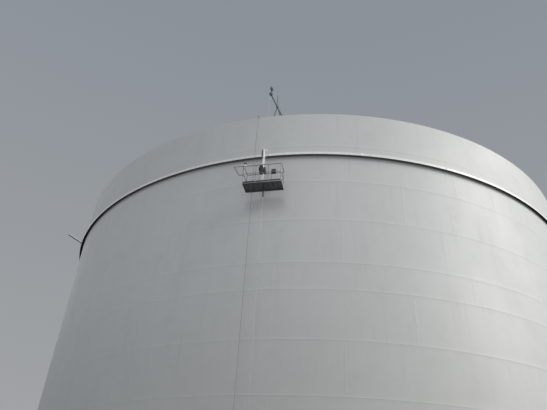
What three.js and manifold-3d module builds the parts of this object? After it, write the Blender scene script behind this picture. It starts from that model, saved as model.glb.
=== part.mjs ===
// Vertical storage tank with a painting cradle hung on its wall, in millimetres, +Z up.
// The origin is on the tank's axis at ground level, and the cradle hangs on the -Y side.
import * as THREE from "three";
import { mergeVertices } from "three/addons/utils/BufferGeometryUtils.js";
import Module from "manifold-3d";

const wasm = await Module();
wasm.setup();

// Driving dimensions of the tank.
const innerRadius = 18976;
const facets = 80;
const bottom = { radius: 19060, thickness: 8 };
const courses = [
  { top: 2400, thickness: 24 },
  { top: 4800, thickness: 21 },
  { top: 7200, thickness: 19 },
  { top: 9600, thickness: 16 },
  { top: 12000, thickness: 14 },
  { top: 13400, thickness: 12 },
  { top: 15800, thickness: 10 },
  { top: 18200, thickness: 8 },
  { top: 20600, thickness: 8 },
  { top: 23000, thickness: 8 },
];
const rimHeight = courses.at(-1).top;
const topRadius = innerRadius + courses.at(-1).thickness;
const fitGap = 0.3;
const girder = { top: 20045, reach: 185, leg: 165, thickness: 12, course: 8 };
const curb = { leg: 100, thickness: 8 };
const roof = { sectors: 6, edgeRadius: 18905, crownRadius: 600, slope: 1 / 16, thickness: 6, seam: 0.5 };
const crown = { radius: 660, thickness: 8 };
const vent = { neckRadius: 150, neckHeight: 300, hoodRadius: 300, hoodHeight: 160, brim: 60 };
const hatch = { angle: 100, radius: 17400, neckRadius: 300, neckHeight: 260, lidRadius: 350, lidHeight: 30 };
const manhole = { facet: 31, height: 900, neckRadius: 305, wall: 12, reach: 300, flangeRadius: 415, flange: 18 };
const nozzle = { facet: 34, height: 600, neckRadius: 137, wall: 10, reach: 280, flangeRadius: 205, flange: 30 };
const sideArm = {
  angle: -63,
  radius: 75,
  foot: [19070, 20097],
  tip: [20180, 20570],
  saddle: [260, 140, 12],
  wallGap: 20,
};

// Driving dimensions of the hanging gear. Its frame is turned so that the wall faces -Y.
const gearAngle = -7.72;
const rope = { x: 30, reach: 19760, radius: 6, weightRadius: 55, weightHeight: 200, weightBase: 150 };
const upperRope = { setback: 60, lineSteps: 8, arcSteps: 20, arcStart: 80, arcEnd: 180, rings: 78 };
const boom = {
  width: 76,
  turn: -20.3,
  tip: [110, 24144],
  apex: [864, 23760],
  tail: [2040, 23161],
};
const sheave = {
  radius: 150,
  groove: 140,
  ropeCentre: 147.5,
  width: 40,
  lipWidth: 36,
  hubRadius: 45,
  hubStep: 4,
  height: 24600,
};
const head = { size: [150, 150, 150], neck: [14, 60], cheekRadius: 60 };
const kingPost = { radius: 28, top: 24640 };
const trestle = { feet: [150, 510], footRadius: 18942, leg: 46, plate: [130, 56, 8], sleeve: 126 };
const ballast = { size: [520, 520, 240], centre: 1960 };
const dropLine = { x: -730, radius: 19220, thickness: 12, end: 300, weightRadius: 40, weightHeight: 150 };
const lineBracket = { width: 60, height: 40, inner: 18915, outer: 19250 };

const cradle = { width: 2030, depth: 816, height: 17376, frame: 60, plate: 4, bar: 38 };
const floorFrame = { rim: 50, bays: 4, middle: 160 };
const guard = { height: 1100, middle: 560, toeBoard: 100 };
const mast = { x: -70, width: 90, top: 2500 };
const hoist = { width: 120, depth: 200, low: 860, high: 1260, hole: 6.5 };
const motor = { width: 230, depth: 200, low: 760, high: 1310 };
const lock = { width: 75, depth: 90, low: 1930, high: 2480 };
const ropeEye = { width: 130, depth: 90, height: 60, drop: 100 };
const guide = { radius: 45, hole: 25, length: 620 };
const controlBox = { x: 590, size: [230, 150, 240], low: 600 };
const endBracket = { reach: 530, knee: 200, high: 1180, drop: 10, low: 580, tube: 56, strut: 34, plate: [10, 56] };

const radians = THREE.MathUtils.degToRad;

const paints = {
  shell: { color: 0xb4b6b4, roughness: 0.5, metalness: 0.05 },
  roof: { color: 0xa9aba8, roughness: 0.6, metalness: 0.05 },
  bottom: { color: 0x77746e, roughness: 0.7, metalness: 0.3 },
  girder: { color: 0xaeb1b0, roughness: 0.5, metalness: 0.05 },
  rig: { color: 0x9fb0a8, roughness: 0.5, metalness: 0.2 },
  alloy: { color: 0x8f9192, roughness: 0.45, metalness: 0.7 },
  white: { color: 0xe6e7e2, roughness: 0.4, metalness: 0 },
  dark: { color: 0x24262b, roughness: 0.6, metalness: 0.2 },
  rope: { color: 0x6d7072, roughness: 0.5, metalness: 0.8 },
  fibre: { color: 0x3c3f42, roughness: 0.9, metalness: 0 },
};

function makeMesh(name, geometry, paint) {
  const mesh = new THREE.Mesh(geometry, new THREE.MeshStandardMaterial(paints[paint]));
  mesh.name = name;
  return mesh;
}

// A solid of revolution about Z. Angle 0 is at -Y and grows towards +X.
function turned(profile, segments) {
  const points = profile.map(([radius, height]) => new THREE.Vector2(radius, height));
  return new THREE.LatheGeometry(points, segments).rotateX(Math.PI / 2);
}

function closedRing(inner, outer, low, high, segments) {
  return turned([[inner, low], [outer, low], [outer, high], [inner, high], [inner, low]], segments);
}

// A square bar or a round rod between two points.
function barBetween(start, end, width) {
  return alongLine(new THREE.BoxGeometry(width, width, start.distanceTo(end)), start, end);
}

function rodBetween(start, end, radius, sides) {
  const rod = new THREE.CylinderGeometry(radius, radius, start.distanceTo(end), sides);
  return alongLine(rod.rotateX(Math.PI / 2), start, end);
}

function alongLine(geometry, start, end) {
  const direction = end.clone().sub(start).normalize();
  const level = new THREE.Vector3(0, 0, 1).cross(direction);
  const side = level.lengthSq() > 1e-9 ? level.normalize() : new THREE.Vector3(1, 0, 0);
  const upward = direction.clone().cross(side);
  const place = new THREE.Matrix4().makeBasis(side, upward, direction);
  place.setPosition(start.clone().add(end).multiplyScalar(0.5));
  return geometry.applyMatrix4(place);
}

function boxAt(width, depth, height, x, y, low) {
  return new THREE.BoxGeometry(width, depth, height).translate(x, y, low + height / 2);
}

function solidOf(geometry) {
  const bare = geometry.clone();
  bare.deleteAttribute("normal");
  bare.deleteAttribute("uv");
  const merged = mergeVertices(bare, 1e-3);
  const vertProperties = new Float32Array(merged.attributes.position.array);
  const triVerts = new Uint32Array(merged.index.array);
  return new wasm.Manifold(new wasm.Mesh({ numProp: 3, vertProperties, triVerts }));
}

function geometryOf(solid) {
  const mesh = solid.getMesh();
  const geometry = new THREE.BufferGeometry();
  geometry.setAttribute("position", new THREE.BufferAttribute(mesh.vertProperties, 3));
  geometry.setIndex(new THREE.BufferAttribute(mesh.triVerts, 1));
  geometry.computeVertexNormals();
  return geometry;
}

function fused(geometries) {
  return geometries.map(solidOf).reduce((whole, piece) => whole.add(piece));
}

function cutOut(block, openings) {
  return geometryOf(openings.map(solidOf).reduce((rest, opening) => rest.subtract(opening), solidOf(block)));
}

// Cuts off whatever sinks below a level on the piece's own middle plane.
function blockBelow(level, y) {
  const size = 4000;
  return solidOf(boxAt(size, size, size, 0, y, level - size));
}

function uprightHole(radius, x, low, high) {
  const hole = new THREE.CylinderGeometry(radius, radius, high - low, 16).rotateX(Math.PI / 2);
  return hole.translate(x, 0, (low + high) / 2);
}

function roofHeight(radius) {
  return rimHeight + fitGap + (roof.edgeRadius - radius) * roof.slope;
}

function makeBottom() {
  const { radius, thickness } = bottom;
  const plate = turned([[0, 0], [radius, 0], [radius, thickness], [0, thickness]], facets);
  return makeMesh("bottom_plate", plate, "bottom");
}

function makeCourses() {
  return courses.map(({ top, thickness }, index) => {
    const low = index ? courses[index - 1].top : bottom.thickness;
    const name = "shell_course_" + String(index + 1).padStart(2, "0");
    return makeMesh(name, closedRing(innerRadius, innerRadius + thickness, low, top, facets), "shell");
  });
}

// An angle section with its toe turned down, all round the outside of the wall.
function makeGirder() {
  const { top, reach, leg, thickness, course } = girder;
  const inner = innerRadius + courses[course].thickness + fitGap;
  const outer = inner + reach;
  const profile = [
    [inner, top - thickness],
    [outer - thickness, top - thickness],
    [outer - thickness, top - leg],
    [outer, top - leg],
    [outer, top],
    [inner, top],
    [inner, top - thickness],
  ];
  return makeMesh("wind_girder", turned(profile, facets), "girder");
}

// An angle section inside the rim that carries the edge of the roof.
function makeCurb() {
  const outer = innerRadius - fitGap;
  const { leg, thickness } = curb;
  const profile = [
    [outer - thickness, rimHeight - leg],
    [outer, rimHeight - leg],
    [outer, rimHeight],
    [outer - leg, rimHeight],
    [outer - leg, rimHeight - thickness],
    [outer - thickness, rimHeight - thickness],
    [outer - thickness, rimHeight - leg],
  ];
  return makeMesh("curb_angle", turned(profile, facets), "girder");
}

function roofCone(gap) {
  const { edgeRadius, crownRadius, thickness } = roof;
  const edge = roofHeight(edgeRadius);
  const centre = roofHeight(crownRadius);
  const profile = [
    [crownRadius - gap, centre - gap],
    [edgeRadius + gap, edge - gap],
    [edgeRadius + gap, edge + thickness + gap],
    [crownRadius - gap, centre + thickness + gap],
    [crownRadius - gap, centre - gap],
  ];
  return turned(profile, facets);
}

// The cone is cut by wedges whose sides stand back from each other by the seam.
function makeRoof() {
  const cone = solidOf(roofCone(0));
  const spread = (2 * Math.PI) / roof.sectors;
  const far = 2 * innerRadius;
  const setback = roof.seam / 2 / Math.sin(spread / 2);
  const tip = new THREE.Vector2(setback, 0).rotateAround(new THREE.Vector2(), spread / 2);
  const outline = new THREE.Shape([
    tip,
    new THREE.Vector2(tip.x + far, tip.y),
    new THREE.Vector2(tip.x + far * Math.cos(spread), tip.y + far * Math.sin(spread)),
  ]);
  return Array.from({ length: roof.sectors }, (_, index) => {
    const wedge = new THREE.ExtrudeGeometry(outline, { depth: 2 * rimHeight, bevelEnabled: false });
    wedge.rotateZ(index * spread);
    const sector = geometryOf(cone.intersect(solidOf(wedge)));
    return makeMesh("roof_sector_" + (index + 1), sector, "roof");
  });
}

function makeCrown() {
  const low = roofHeight(roof.crownRadius) + roof.thickness + fitGap;
  const { radius, thickness } = crown;
  const plate = turned([[0, low], [radius, low], [radius, low + thickness], [0, low + thickness]], 32);
  const base = low + thickness;
  const neckTop = base + vent.neckHeight;
  const hood = [
    [0, base],
    [vent.neckRadius, base],
    [vent.neckRadius, neckTop],
    [vent.hoodRadius, neckTop],
    [vent.hoodRadius, neckTop + vent.brim],
    [0, neckTop + vent.hoodHeight],
  ];
  return [makeMesh("roof_crown", plate, "roof"), makeMesh("roof_vent", turned(hood, 24), "roof")];
}

function makeHatch() {
  const low = roofHeight(hatch.radius + hatch.lidRadius);
  const high = roofHeight(hatch.radius) + roof.thickness + hatch.neckHeight;
  const profile = [
    [0, low],
    [hatch.neckRadius, low],
    [hatch.neckRadius, high],
    [hatch.lidRadius, high],
    [hatch.lidRadius, high + hatch.lidHeight],
    [0, high + hatch.lidHeight],
  ];
  const neck = turned(profile, 24).translate(0, -hatch.radius, 0).rotateZ(radians(hatch.angle));
  const aboveRoof = solidOf(neck).subtract(solidOf(roofCone(fitGap)));
  const body = aboveRoof.decompose().sort((a, b) => b.volume() - a.volume())[0];
  return makeMesh("roof_hatch", geometryOf(body), "roof");
}

// A piece turned about its own axis, laid on a flat facet of the wall and facing away from the tank.
function placeOnFacet(geometry, facet, height) {
  const angle = ((facet + 0.5) * 2 * Math.PI) / facets;
  const wall = (innerRadius + courses[0].thickness) * Math.cos(Math.PI / facets) + fitGap;
  return geometry.rotateX(Math.PI / 2).translate(0, -wall, height).rotateZ(angle);
}

function makeManhole() {
  const { neckRadius, wall, reach, flangeRadius, flange } = manhole;
  const profile = [
    [neckRadius - wall, 0],
    [neckRadius, 0],
    [neckRadius, reach - flange],
    [flangeRadius, reach - flange],
    [flangeRadius, reach],
    [neckRadius - wall, reach],
    [neckRadius - wall, 0],
  ];
  const lidBase = reach + fitGap;
  const lid = [[0, lidBase], [flangeRadius, lidBase], [flangeRadius, lidBase + flange], [0, lidBase + flange]];
  return [
    makeMesh("manhole_neck", placeOnFacet(turned(profile, 32), manhole.facet, manhole.height), "shell"),
    makeMesh("manhole_cover", placeOnFacet(turned(lid, 32), manhole.facet, manhole.height), "shell"),
  ];
}

function makeNozzle() {
  const { neckRadius, wall, reach, flangeRadius, flange } = nozzle;
  const profile = [
    [neckRadius - wall, 0],
    [neckRadius, 0],
    [neckRadius, reach - flange],
    [flangeRadius, reach - flange],
    [flangeRadius, reach],
    [neckRadius - wall, reach],
    [neckRadius - wall, 0],
  ];
  const blindBase = reach + fitGap;
  const blind = [
    [0, blindBase],
    [flangeRadius, blindBase],
    [flangeRadius, blindBase + flange],
    [0, blindBase + flange],
  ];
  return [
    makeMesh("nozzle_neck", placeOnFacet(turned(profile, 24), nozzle.facet, nozzle.height), "shell"),
    makeMesh("nozzle_blind", placeOnFacet(turned(blind, 24), nozzle.facet, nozzle.height), "shell"),
  ];
}

// A short tube on a saddle that stands on the girder and points out and up.
function makeSideArm() {
  const { radius, foot, tip, saddle, wallGap, angle } = sideArm;
  const [width, depth, thickness] = saddle;
  const low = girder.top + fitGap;
  const start = new THREE.Vector3(0, -foot[0], foot[1]);
  const end = new THREE.Vector3(0, -tip[0], tip[1]);
  const tube = rodBetween(start, end, radius, 16);
  const plate = boxAt(width, depth, thickness, 0, -(topRadius + wallGap + depth / 2), low);
  const whole = fused([tube, plate]).subtract(blockBelow(low, start.y));
  return makeMesh("side_arm", geometryOf(whole).rotateZ(radians(angle)), "girder");
}

// Points of the davit lie in one upright plane: how far in from the rope, and the height.
function boomPoint([inward, height]) {
  return new THREE.Vector3(0, inward, height);
}

function makeBoom() {
  const bar = barBetween(boomPoint(boom.tip), boomPoint(boom.tail), boom.width);
  return makeMesh("davit_boom", geometryOf(solidOf(bar)), "rig");
}

// The room that the boom takes up in the pieces round it, with a gap on every side.
function boomRoom() {
  const more = boomPoint(boom.tail).sub(boomPoint(boom.tip)).setLength(fitGap);
  const start = boomPoint(boom.tip).sub(more);
  return solidOf(barBetween(start, boomPoint(boom.tail).add(more), boom.width + 2 * fitGap));
}

function makeHead() {
  const [width, depth, height] = head.size;
  const [cheek, neck] = head.neck;
  const [tipIn, tipHeight] = boom.tip;
  const block = boxAt(width, depth, height, 0, tipIn, tipHeight - height / 2);
  const gapSide = sheave.width / 2 + sheave.hubStep + fitGap;
  const cheeks = [-1, 1].flatMap((side) => {
    const x = side * (gapSide + cheek / 2);
    const upright = boxAt(cheek, neck, sheave.height - tipHeight, x, sheave.ropeCentre, tipHeight);
    const boss = new THREE.CylinderGeometry(head.cheekRadius, head.cheekRadius, cheek, 16)
      .rotateZ(Math.PI / 2)
      .translate(x, sheave.ropeCentre, sheave.height);
    return [upright, boss];
  });
  const whole = fused([block, ...cheeks]).subtract(boomRoom());
  return makeMesh("davit_head", geometryOf(whole), "dark");
}

function makeSheave() {
  const half = sheave.width / 2;
  const lip = sheave.lipWidth / 2;
  const hub = half + sheave.hubStep;
  const profile = [
    [0, -hub],
    [sheave.hubRadius, -hub],
    [sheave.hubRadius, -half],
    [sheave.radius, -half],
    [sheave.radius, -lip],
    [sheave.groove, -lip / 2],
    [sheave.groove, lip / 2],
    [sheave.radius, lip],
    [sheave.radius, half],
    [sheave.hubRadius, half],
    [sheave.hubRadius, hub],
    [0, hub],
  ];
  const wheel = turned(profile, 32).rotateY(Math.PI / 2);
  return makeMesh("davit_sheave", wheel.translate(0, sheave.ropeCentre, sheave.height), "dark");
}

// Two legs on the rim, a sleeve round the boom and the king post above it.
function makeTrestle() {
  const apex = boomPoint(boom.apex);
  const low = rimHeight + fitGap;
  const [plateWidth, plateDepth, plateHeight] = trestle.plate;
  const turnBack = -radians(boom.turn);
  const legs = trestle.feet.flatMap((x) => {
    const foot = new THREE.Vector3(x - rope.x, rope.reach - trestle.footRadius, low + plateHeight / 2);
    foot.applyAxisAngle(new THREE.Vector3(0, 0, 1), turnBack);
    const plate = boxAt(plateWidth, plateDepth, plateHeight, 0, 0, low);
    plate.rotateZ(turnBack).translate(foot.x, foot.y, 0);
    return [barBetween(foot, apex, trestle.leg), plate];
  });
  const sleeve = barBetween(
    boomPoint([boom.apex[0] - trestle.sleeve / 2, boom.apex[1] + (trestle.sleeve / 2) * boomSlope()]),
    boomPoint([boom.apex[0] + trestle.sleeve / 2, boom.apex[1] - (trestle.sleeve / 2) * boomSlope()]),
    trestle.sleeve,
  );
  const postTop = new THREE.Vector3(0, boom.apex[0], kingPost.top);
  const post = rodBetween(apex, postTop, kingPost.radius, 12);
  const whole = fused([...legs, sleeve, post])
    .subtract(blockBelow(low, boom.apex[0]))
    .subtract(boomRoom());
  return makeMesh("davit_trestle", geometryOf(whole), "rig");
}

function boomSlope() {
  return (boom.tip[1] - boom.tail[1]) / (boom.tail[0] - boom.tip[0]);
}

// Stacked weights on the roof that hold the tail of the boom down.
function makeBallast(toTank) {
  const [width, depth, height] = ballast.size;
  const tailRadius = rope.reach - ballast.centre * Math.cos(radians(boom.turn));
  const low = roofHeight(tailRadius + depth);
  const stack = boxAt(width, depth, roofHeight(tailRadius) + height - low, 0, ballast.centre, low);
  const roofHere = roofCone(fitGap).applyMatrix4(toTank.clone().invert());
  const whole = solidOf(stack).subtract(solidOf(roofHere)).subtract(boomRoom());
  const body = whole.decompose().sort((a, b) => b.volume() - a.volume())[0];
  return makeMesh("davit_ballast", geometryOf(body), "dark");
}

// The rope from the weights over the king post and the sheave to where it turns down.
function makeUpperRope() {
  const { setback, lineSteps, arcSteps, arcStart, arcEnd, rings } = upperRope;
  const anchor = [ballast.centre - setback, ballastTop() + rope.radius];
  const crestHeight = kingPost.top + rope.radius + fitGap;
  const crest = [boom.apex[0] + 2 * kingPost.radius, crestHeight];
  const points = [];
  for (let step = 0; step < lineSteps; step += 1) {
    const share = step / lineSteps;
    const inward = THREE.MathUtils.lerp(anchor[0], crest[0], share);
    points.push([inward, THREE.MathUtils.lerp(anchor[1], crest[1], share)]);
  }
  points.push(crest, [boom.apex[0] - 2 * kingPost.radius, crestHeight]);
  for (let step = 0; step <= arcSteps; step += 1) {
    const angle = radians(THREE.MathUtils.lerp(arcStart, arcEnd, step / arcSteps));
    const inward = sheave.ropeCentre * (1 + Math.cos(angle));
    points.push([inward, sheave.height + sheave.ropeCentre * Math.sin(angle)]);
  }
  const path = new THREE.CurvePath();
  for (let index = 1; index < points.length; index += 1) {
    path.add(new THREE.LineCurve3(boomPoint(points[index - 1]), boomPoint(points[index])));
  }
  const section = new THREE.Shape();
  section.absarc(0, 0, rope.radius, 0, 2 * Math.PI, false);
  const settings = { steps: rings, extrudePath: path, bevelEnabled: false, curveSegments: 4 };
  return makeMesh("upper_rope", new THREE.ExtrudeGeometry(section, settings), "rope");
}

function ballastTop() {
  const tailRadius = rope.reach - ballast.centre * Math.cos(radians(boom.turn));
  return roofHeight(tailRadius) + ballast.size[2];
}

// The rope runs straight down from the sheave through the cradle to its weight near the ground.
function makeHangingRope() {
  const low = rope.weightBase + rope.weightHeight + fitGap;
  const high = sheave.height - 3 * fitGap;
  const line = new THREE.CylinderGeometry(rope.radius, rope.radius, high - low, 8).rotateX(Math.PI / 2);
  const weight = new THREE.CylinderGeometry(rope.weightRadius, rope.weightRadius, rope.weightHeight, 16);
  weight.rotateX(Math.PI / 2).translate(0, 0, rope.weightBase + rope.weightHeight / 2);
  return [
    makeMesh("hoist_rope", line.translate(0, 0, (low + high) / 2), "rope"),
    makeMesh("rope_weight", weight, "dark"),
  ];
}

function makeDropLine() {
  const { x, radius, thickness, end, weightRadius, weightHeight } = dropLine;
  const high = rimHeight;
  const low = end + weightHeight + fitGap;
  const line = new THREE.CylinderGeometry(thickness, thickness, high - low, 8).rotateX(Math.PI / 2);
  const weight = new THREE.CylinderGeometry(weightRadius, weightRadius, weightHeight, 12).rotateX(Math.PI / 2);
  const { width, height, inner, outer } = lineBracket;
  const bracket = boxAt(width, outer - inner, height, x, -(inner + outer) / 2, high + fitGap);
  return [
    makeMesh("drop_line", line.translate(x, -radius, (low + high) / 2), "fibre"),
    makeMesh("drop_line_weight", weight.translate(x, -radius, end + weightHeight / 2), "dark"),
    makeMesh("line_bracket", bracket, "rig"),
  ];
}

// The cradle's own frame starts at the middle of the floor's underside, and +Y points at the wall.
function makeCradleFloor() {
  const { width, depth, frame, plate, bar } = cradle;
  const { rim, bays, middle } = floorFrame;
  const bayWidth = (width - bays * rim - middle) / bays;
  const openings = Array.from({ length: bays }, (_, bay) => {
    const extra = bay < bays / 2 ? 0 : middle - rim;
    const left = -width / 2 + rim + bay * (bayWidth + rim) + extra;
    return boxAt(bayWidth, depth - 2 * rim, 3 * frame, left + bayWidth / 2, 0, -frame);
  });
  const inside = 2 * (bar + fitGap);
  const ropeHole = uprightHole(guide.hole, rope.x, -frame, 2 * frame);
  const deck = boxAt(width - inside, depth - inside, plate, 0, 0, frame);
  return [
    makeMesh("cradle_floor_frame", cutOut(boxAt(width, depth, frame, 0, 0, 0), [...openings, ropeHole]), "alloy"),
    makeMesh("cradle_deck", cutOut(deck, [ropeHole]), "dark"),
  ];
}

// One side of the guard: posts, top rail, middle rail and toe board in one flat frame.
function guardPanel(length, bays) {
  const { height, middle, toeBoard } = guard;
  const { bar, frame } = cradle;
  const opening = (length - (bays + 1) * bar) / bays;
  const rows = [
    [toeBoard, middle],
    [middle + bar, height - bar],
  ];
  const openings = [];
  for (let bay = 0; bay < bays; bay += 1) {
    const centre = -length / 2 + bar + opening / 2 + bay * (opening + bar);
    rows.forEach(([low, high]) => {
      openings.push(boxAt(opening, 2 * bar, high - low, centre, 0, frame + low));
    });
  }
  return cutOut(boxAt(length, bar, height, 0, 0, frame), openings);
}

function makeGuards() {
  const { width, depth, bar } = cradle;
  const along = (depth - bar) / 2;
  const across = (width - bar) / 2;
  const endLength = depth - 2 * bar - 2 * fitGap;
  return [
    makeMesh("guard_outer", guardPanel(width, 3).translate(0, -along, 0), "alloy"),
    makeMesh("guard_wall_side", guardPanel(width, 3).translate(0, along, 0), "alloy"),
    makeMesh("guard_left_end", guardPanel(endLength, 1).rotateZ(Math.PI / 2).translate(-across, 0, 0), "alloy"),
    makeMesh("guard_right_end", guardPanel(endLength, 1).rotateZ(Math.PI / 2).translate(across, 0, 0), "alloy"),
  ];
}

function makeMastGear() {
  const base = cradle.frame + cradle.plate;
  const mastLeft = mast.x - mast.width / 2;
  const mastRight = mast.x + mast.width / 2;
  const hoistX = mastRight + fitGap + hoist.width / 2;
  const drive = boxAt(hoist.width, hoist.depth, hoist.high - hoist.low, hoistX, 0, hoist.low);
  const driveHole = uprightHole(hoist.hole, rope.x, 0, mast.top);
  const motorX = mastRight - motor.width / 2;
  const motorY = -(mast.width / 2 + fitGap + motor.depth / 2);
  const motorBlock = boxAt(motor.width, motor.depth, motor.high - motor.low, motorX, motorY, motor.low);
  const lockX = mastLeft - fitGap - lock.width / 2;
  const post = boxAt(mast.width, mast.width, mast.top - base, mast.x, 0, base);
  const { width, depth, height, drop } = ropeEye;
  const eye = boxAt(width, depth, height, mastRight + fitGap + width / 2, 0, mast.top - drop);
  const eyeHole = uprightHole(guide.hole, rope.x, 0, 2 * mast.top);
  return [
    makeMesh("mast", post, "white"),
    makeMesh("rope_hoist", cutOut(drive, [driveHole]), "dark"),
    makeMesh("hoist_motor", motorBlock, "dark"),
    makeMesh("overload_box", boxAt(lock.width, lock.depth, lock.high - lock.low, lockX, 0, lock.low), "dark"),
    makeMesh("mast_rope_guide", cutOut(eye, [eyeHole]), "white"),
  ];
}

function makeRopeGuide() {
  const tube = closedRing(guide.hole, guide.radius, -guide.length, 0, 16);
  return makeMesh("lower_rope_guide", tube.translate(rope.x, 0, 0), "dark");
}

function makeControlBox() {
  const [width, depth, height] = controlBox.size;
  const y = -cradle.depth / 2 + cradle.bar + fitGap + depth / 2;
  return makeMesh("control_box", boxAt(width, depth, height, controlBox.x, y, controlBox.low), "dark");
}

// A bracket that reaches out past the left end, from the outer guard's top rail to its middle rail.
function makeEndBracket() {
  const { reach, knee, high, drop, low, tube, strut, plate } = endBracket;
  const [thickness, overlap] = plate;
  const y = -(cradle.depth - cradle.bar) / 2;
  const side = -cradle.width / 2 - fitGap;
  const topOuter = new THREE.Vector3(side - reach, y, high);
  const kneePoint = new THREE.Vector3(side - knee, y, low);
  const backing = high - drop - low + 2 * overlap;
  const bars = [
    barBetween(new THREE.Vector3(side + tube, y, high - drop), topOuter, tube),
    barBetween(topOuter, kneePoint, strut),
    barBetween(kneePoint, new THREE.Vector3(side + tube, y, low), strut),
    boxAt(thickness, tube, backing, side - thickness / 2, y, low - overlap),
  ];
  const past = solidOf(boxAt(2 * reach, 2 * reach, 2 * high, side + reach, y, 0));
  return makeMesh("end_bracket", geometryOf(fused(bars).subtract(past)), "white");
}

const tank = new THREE.Group();
tank.add(makeBottom(), ...makeCourses(), makeGirder(), makeCurb());
tank.add(...makeRoof(), ...makeCrown(), makeHatch());
tank.add(...makeManhole(), ...makeNozzle(), makeSideArm());

const gear = new THREE.Group();
gear.rotation.z = radians(gearAngle);
tank.add(gear);

const davit = new THREE.Group();
davit.position.set(rope.x, -rope.reach, 0);
davit.rotation.z = radians(boom.turn);
gear.add(davit);
tank.updateMatrixWorld(true);
davit.add(makeBoom(), makeHead(), makeSheave(), makeTrestle(), makeBallast(davit.matrixWorld));
davit.add(makeUpperRope(), ...makeHangingRope());
gear.add(...makeDropLine());

const hanging = new THREE.Group();
hanging.position.set(0, -rope.reach, cradle.height);
gear.add(hanging);
hanging.add(...makeCradleFloor(), ...makeGuards(), ...makeMastGear());
hanging.add(makeRopeGuide(), makeControlBox(), makeEndBracket());

export default tank;
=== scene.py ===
import math

import bmesh
import bpy
from mathutils import Matrix, Vector, noise


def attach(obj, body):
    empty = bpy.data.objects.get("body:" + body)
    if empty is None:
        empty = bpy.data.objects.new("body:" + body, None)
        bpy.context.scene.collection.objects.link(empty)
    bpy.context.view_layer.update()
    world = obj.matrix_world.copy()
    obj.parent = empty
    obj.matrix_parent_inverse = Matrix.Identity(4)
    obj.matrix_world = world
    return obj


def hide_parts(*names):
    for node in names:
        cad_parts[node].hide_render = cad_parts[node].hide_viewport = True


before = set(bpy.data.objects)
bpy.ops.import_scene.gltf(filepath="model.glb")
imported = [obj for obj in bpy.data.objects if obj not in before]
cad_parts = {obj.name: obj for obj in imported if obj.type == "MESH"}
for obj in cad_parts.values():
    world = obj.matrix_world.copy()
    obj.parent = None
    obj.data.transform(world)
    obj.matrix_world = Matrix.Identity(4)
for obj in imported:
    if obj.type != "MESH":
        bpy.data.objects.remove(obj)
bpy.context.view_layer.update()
print("tank: frame loaded with", len(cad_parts), "solids")

# Lengths are in metres and angles in degrees. An angle round the tank is 0 at -Y and grows towards +X,
# which is left to right as the camera sees the wall.
tank = {
    "innerRadius": 18.976,
    "rim": 23.0,
    "seams": [0.008, 2.4, 4.8, 7.2, 9.6, 12.0, 13.4, 15.8, 18.2, 20.6, 23.0],
    "thickness": [0.024, 0.021, 0.019, 0.016, 0.014, 0.012, 0.01, 0.008, 0.008, 0.008],
    "platesRound": 12,
    "gap": 0.0003,
}
cameraView = {
    "lens": 34.68,
    "sensor": 36.0,
    "reach": 5000.0,
    "place": (0.0, -41.506, 1.649),
    "pitch": 33.57,
    "roll": 3.1594,
    "yaw": -5.3668,
}
studio = {
    "floorHalf": 3000.0,
    "floorHeight": -0.004,
    "floorColour": (0.45, 0.455, 0.46),
    "floorShade": 0.97,
    "skyTop": (0.46, 0.51, 0.57),
    "skyLow": (0.68, 0.69, 0.7),
    "skyStrength": 0.56,
    "lampDistance": 60.0,
}

# Each lamp: angle round the tank, angle above the ground, softness, strength, colour.
lamps = {
    "keyLamp": (76.0, 30.0, 36.0, 2.85, (1.0, 0.975, 0.935)),
    "fillLamp": (-60.0, 25.0, 50.0, 0.15, (0.9, 0.95, 1.0)),
    "frontLamp": (-6.0, 42.0, 22.0, 0.38, (0.96, 0.98, 1.0)),
    "backLamp": (200.0, 35.0, 50.0, 0.55, (0.97, 0.98, 1.0)),
}

dirt = (0.23, 0.22, 0.2)
rust = (0.2, 0.085, 0.035)

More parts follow.
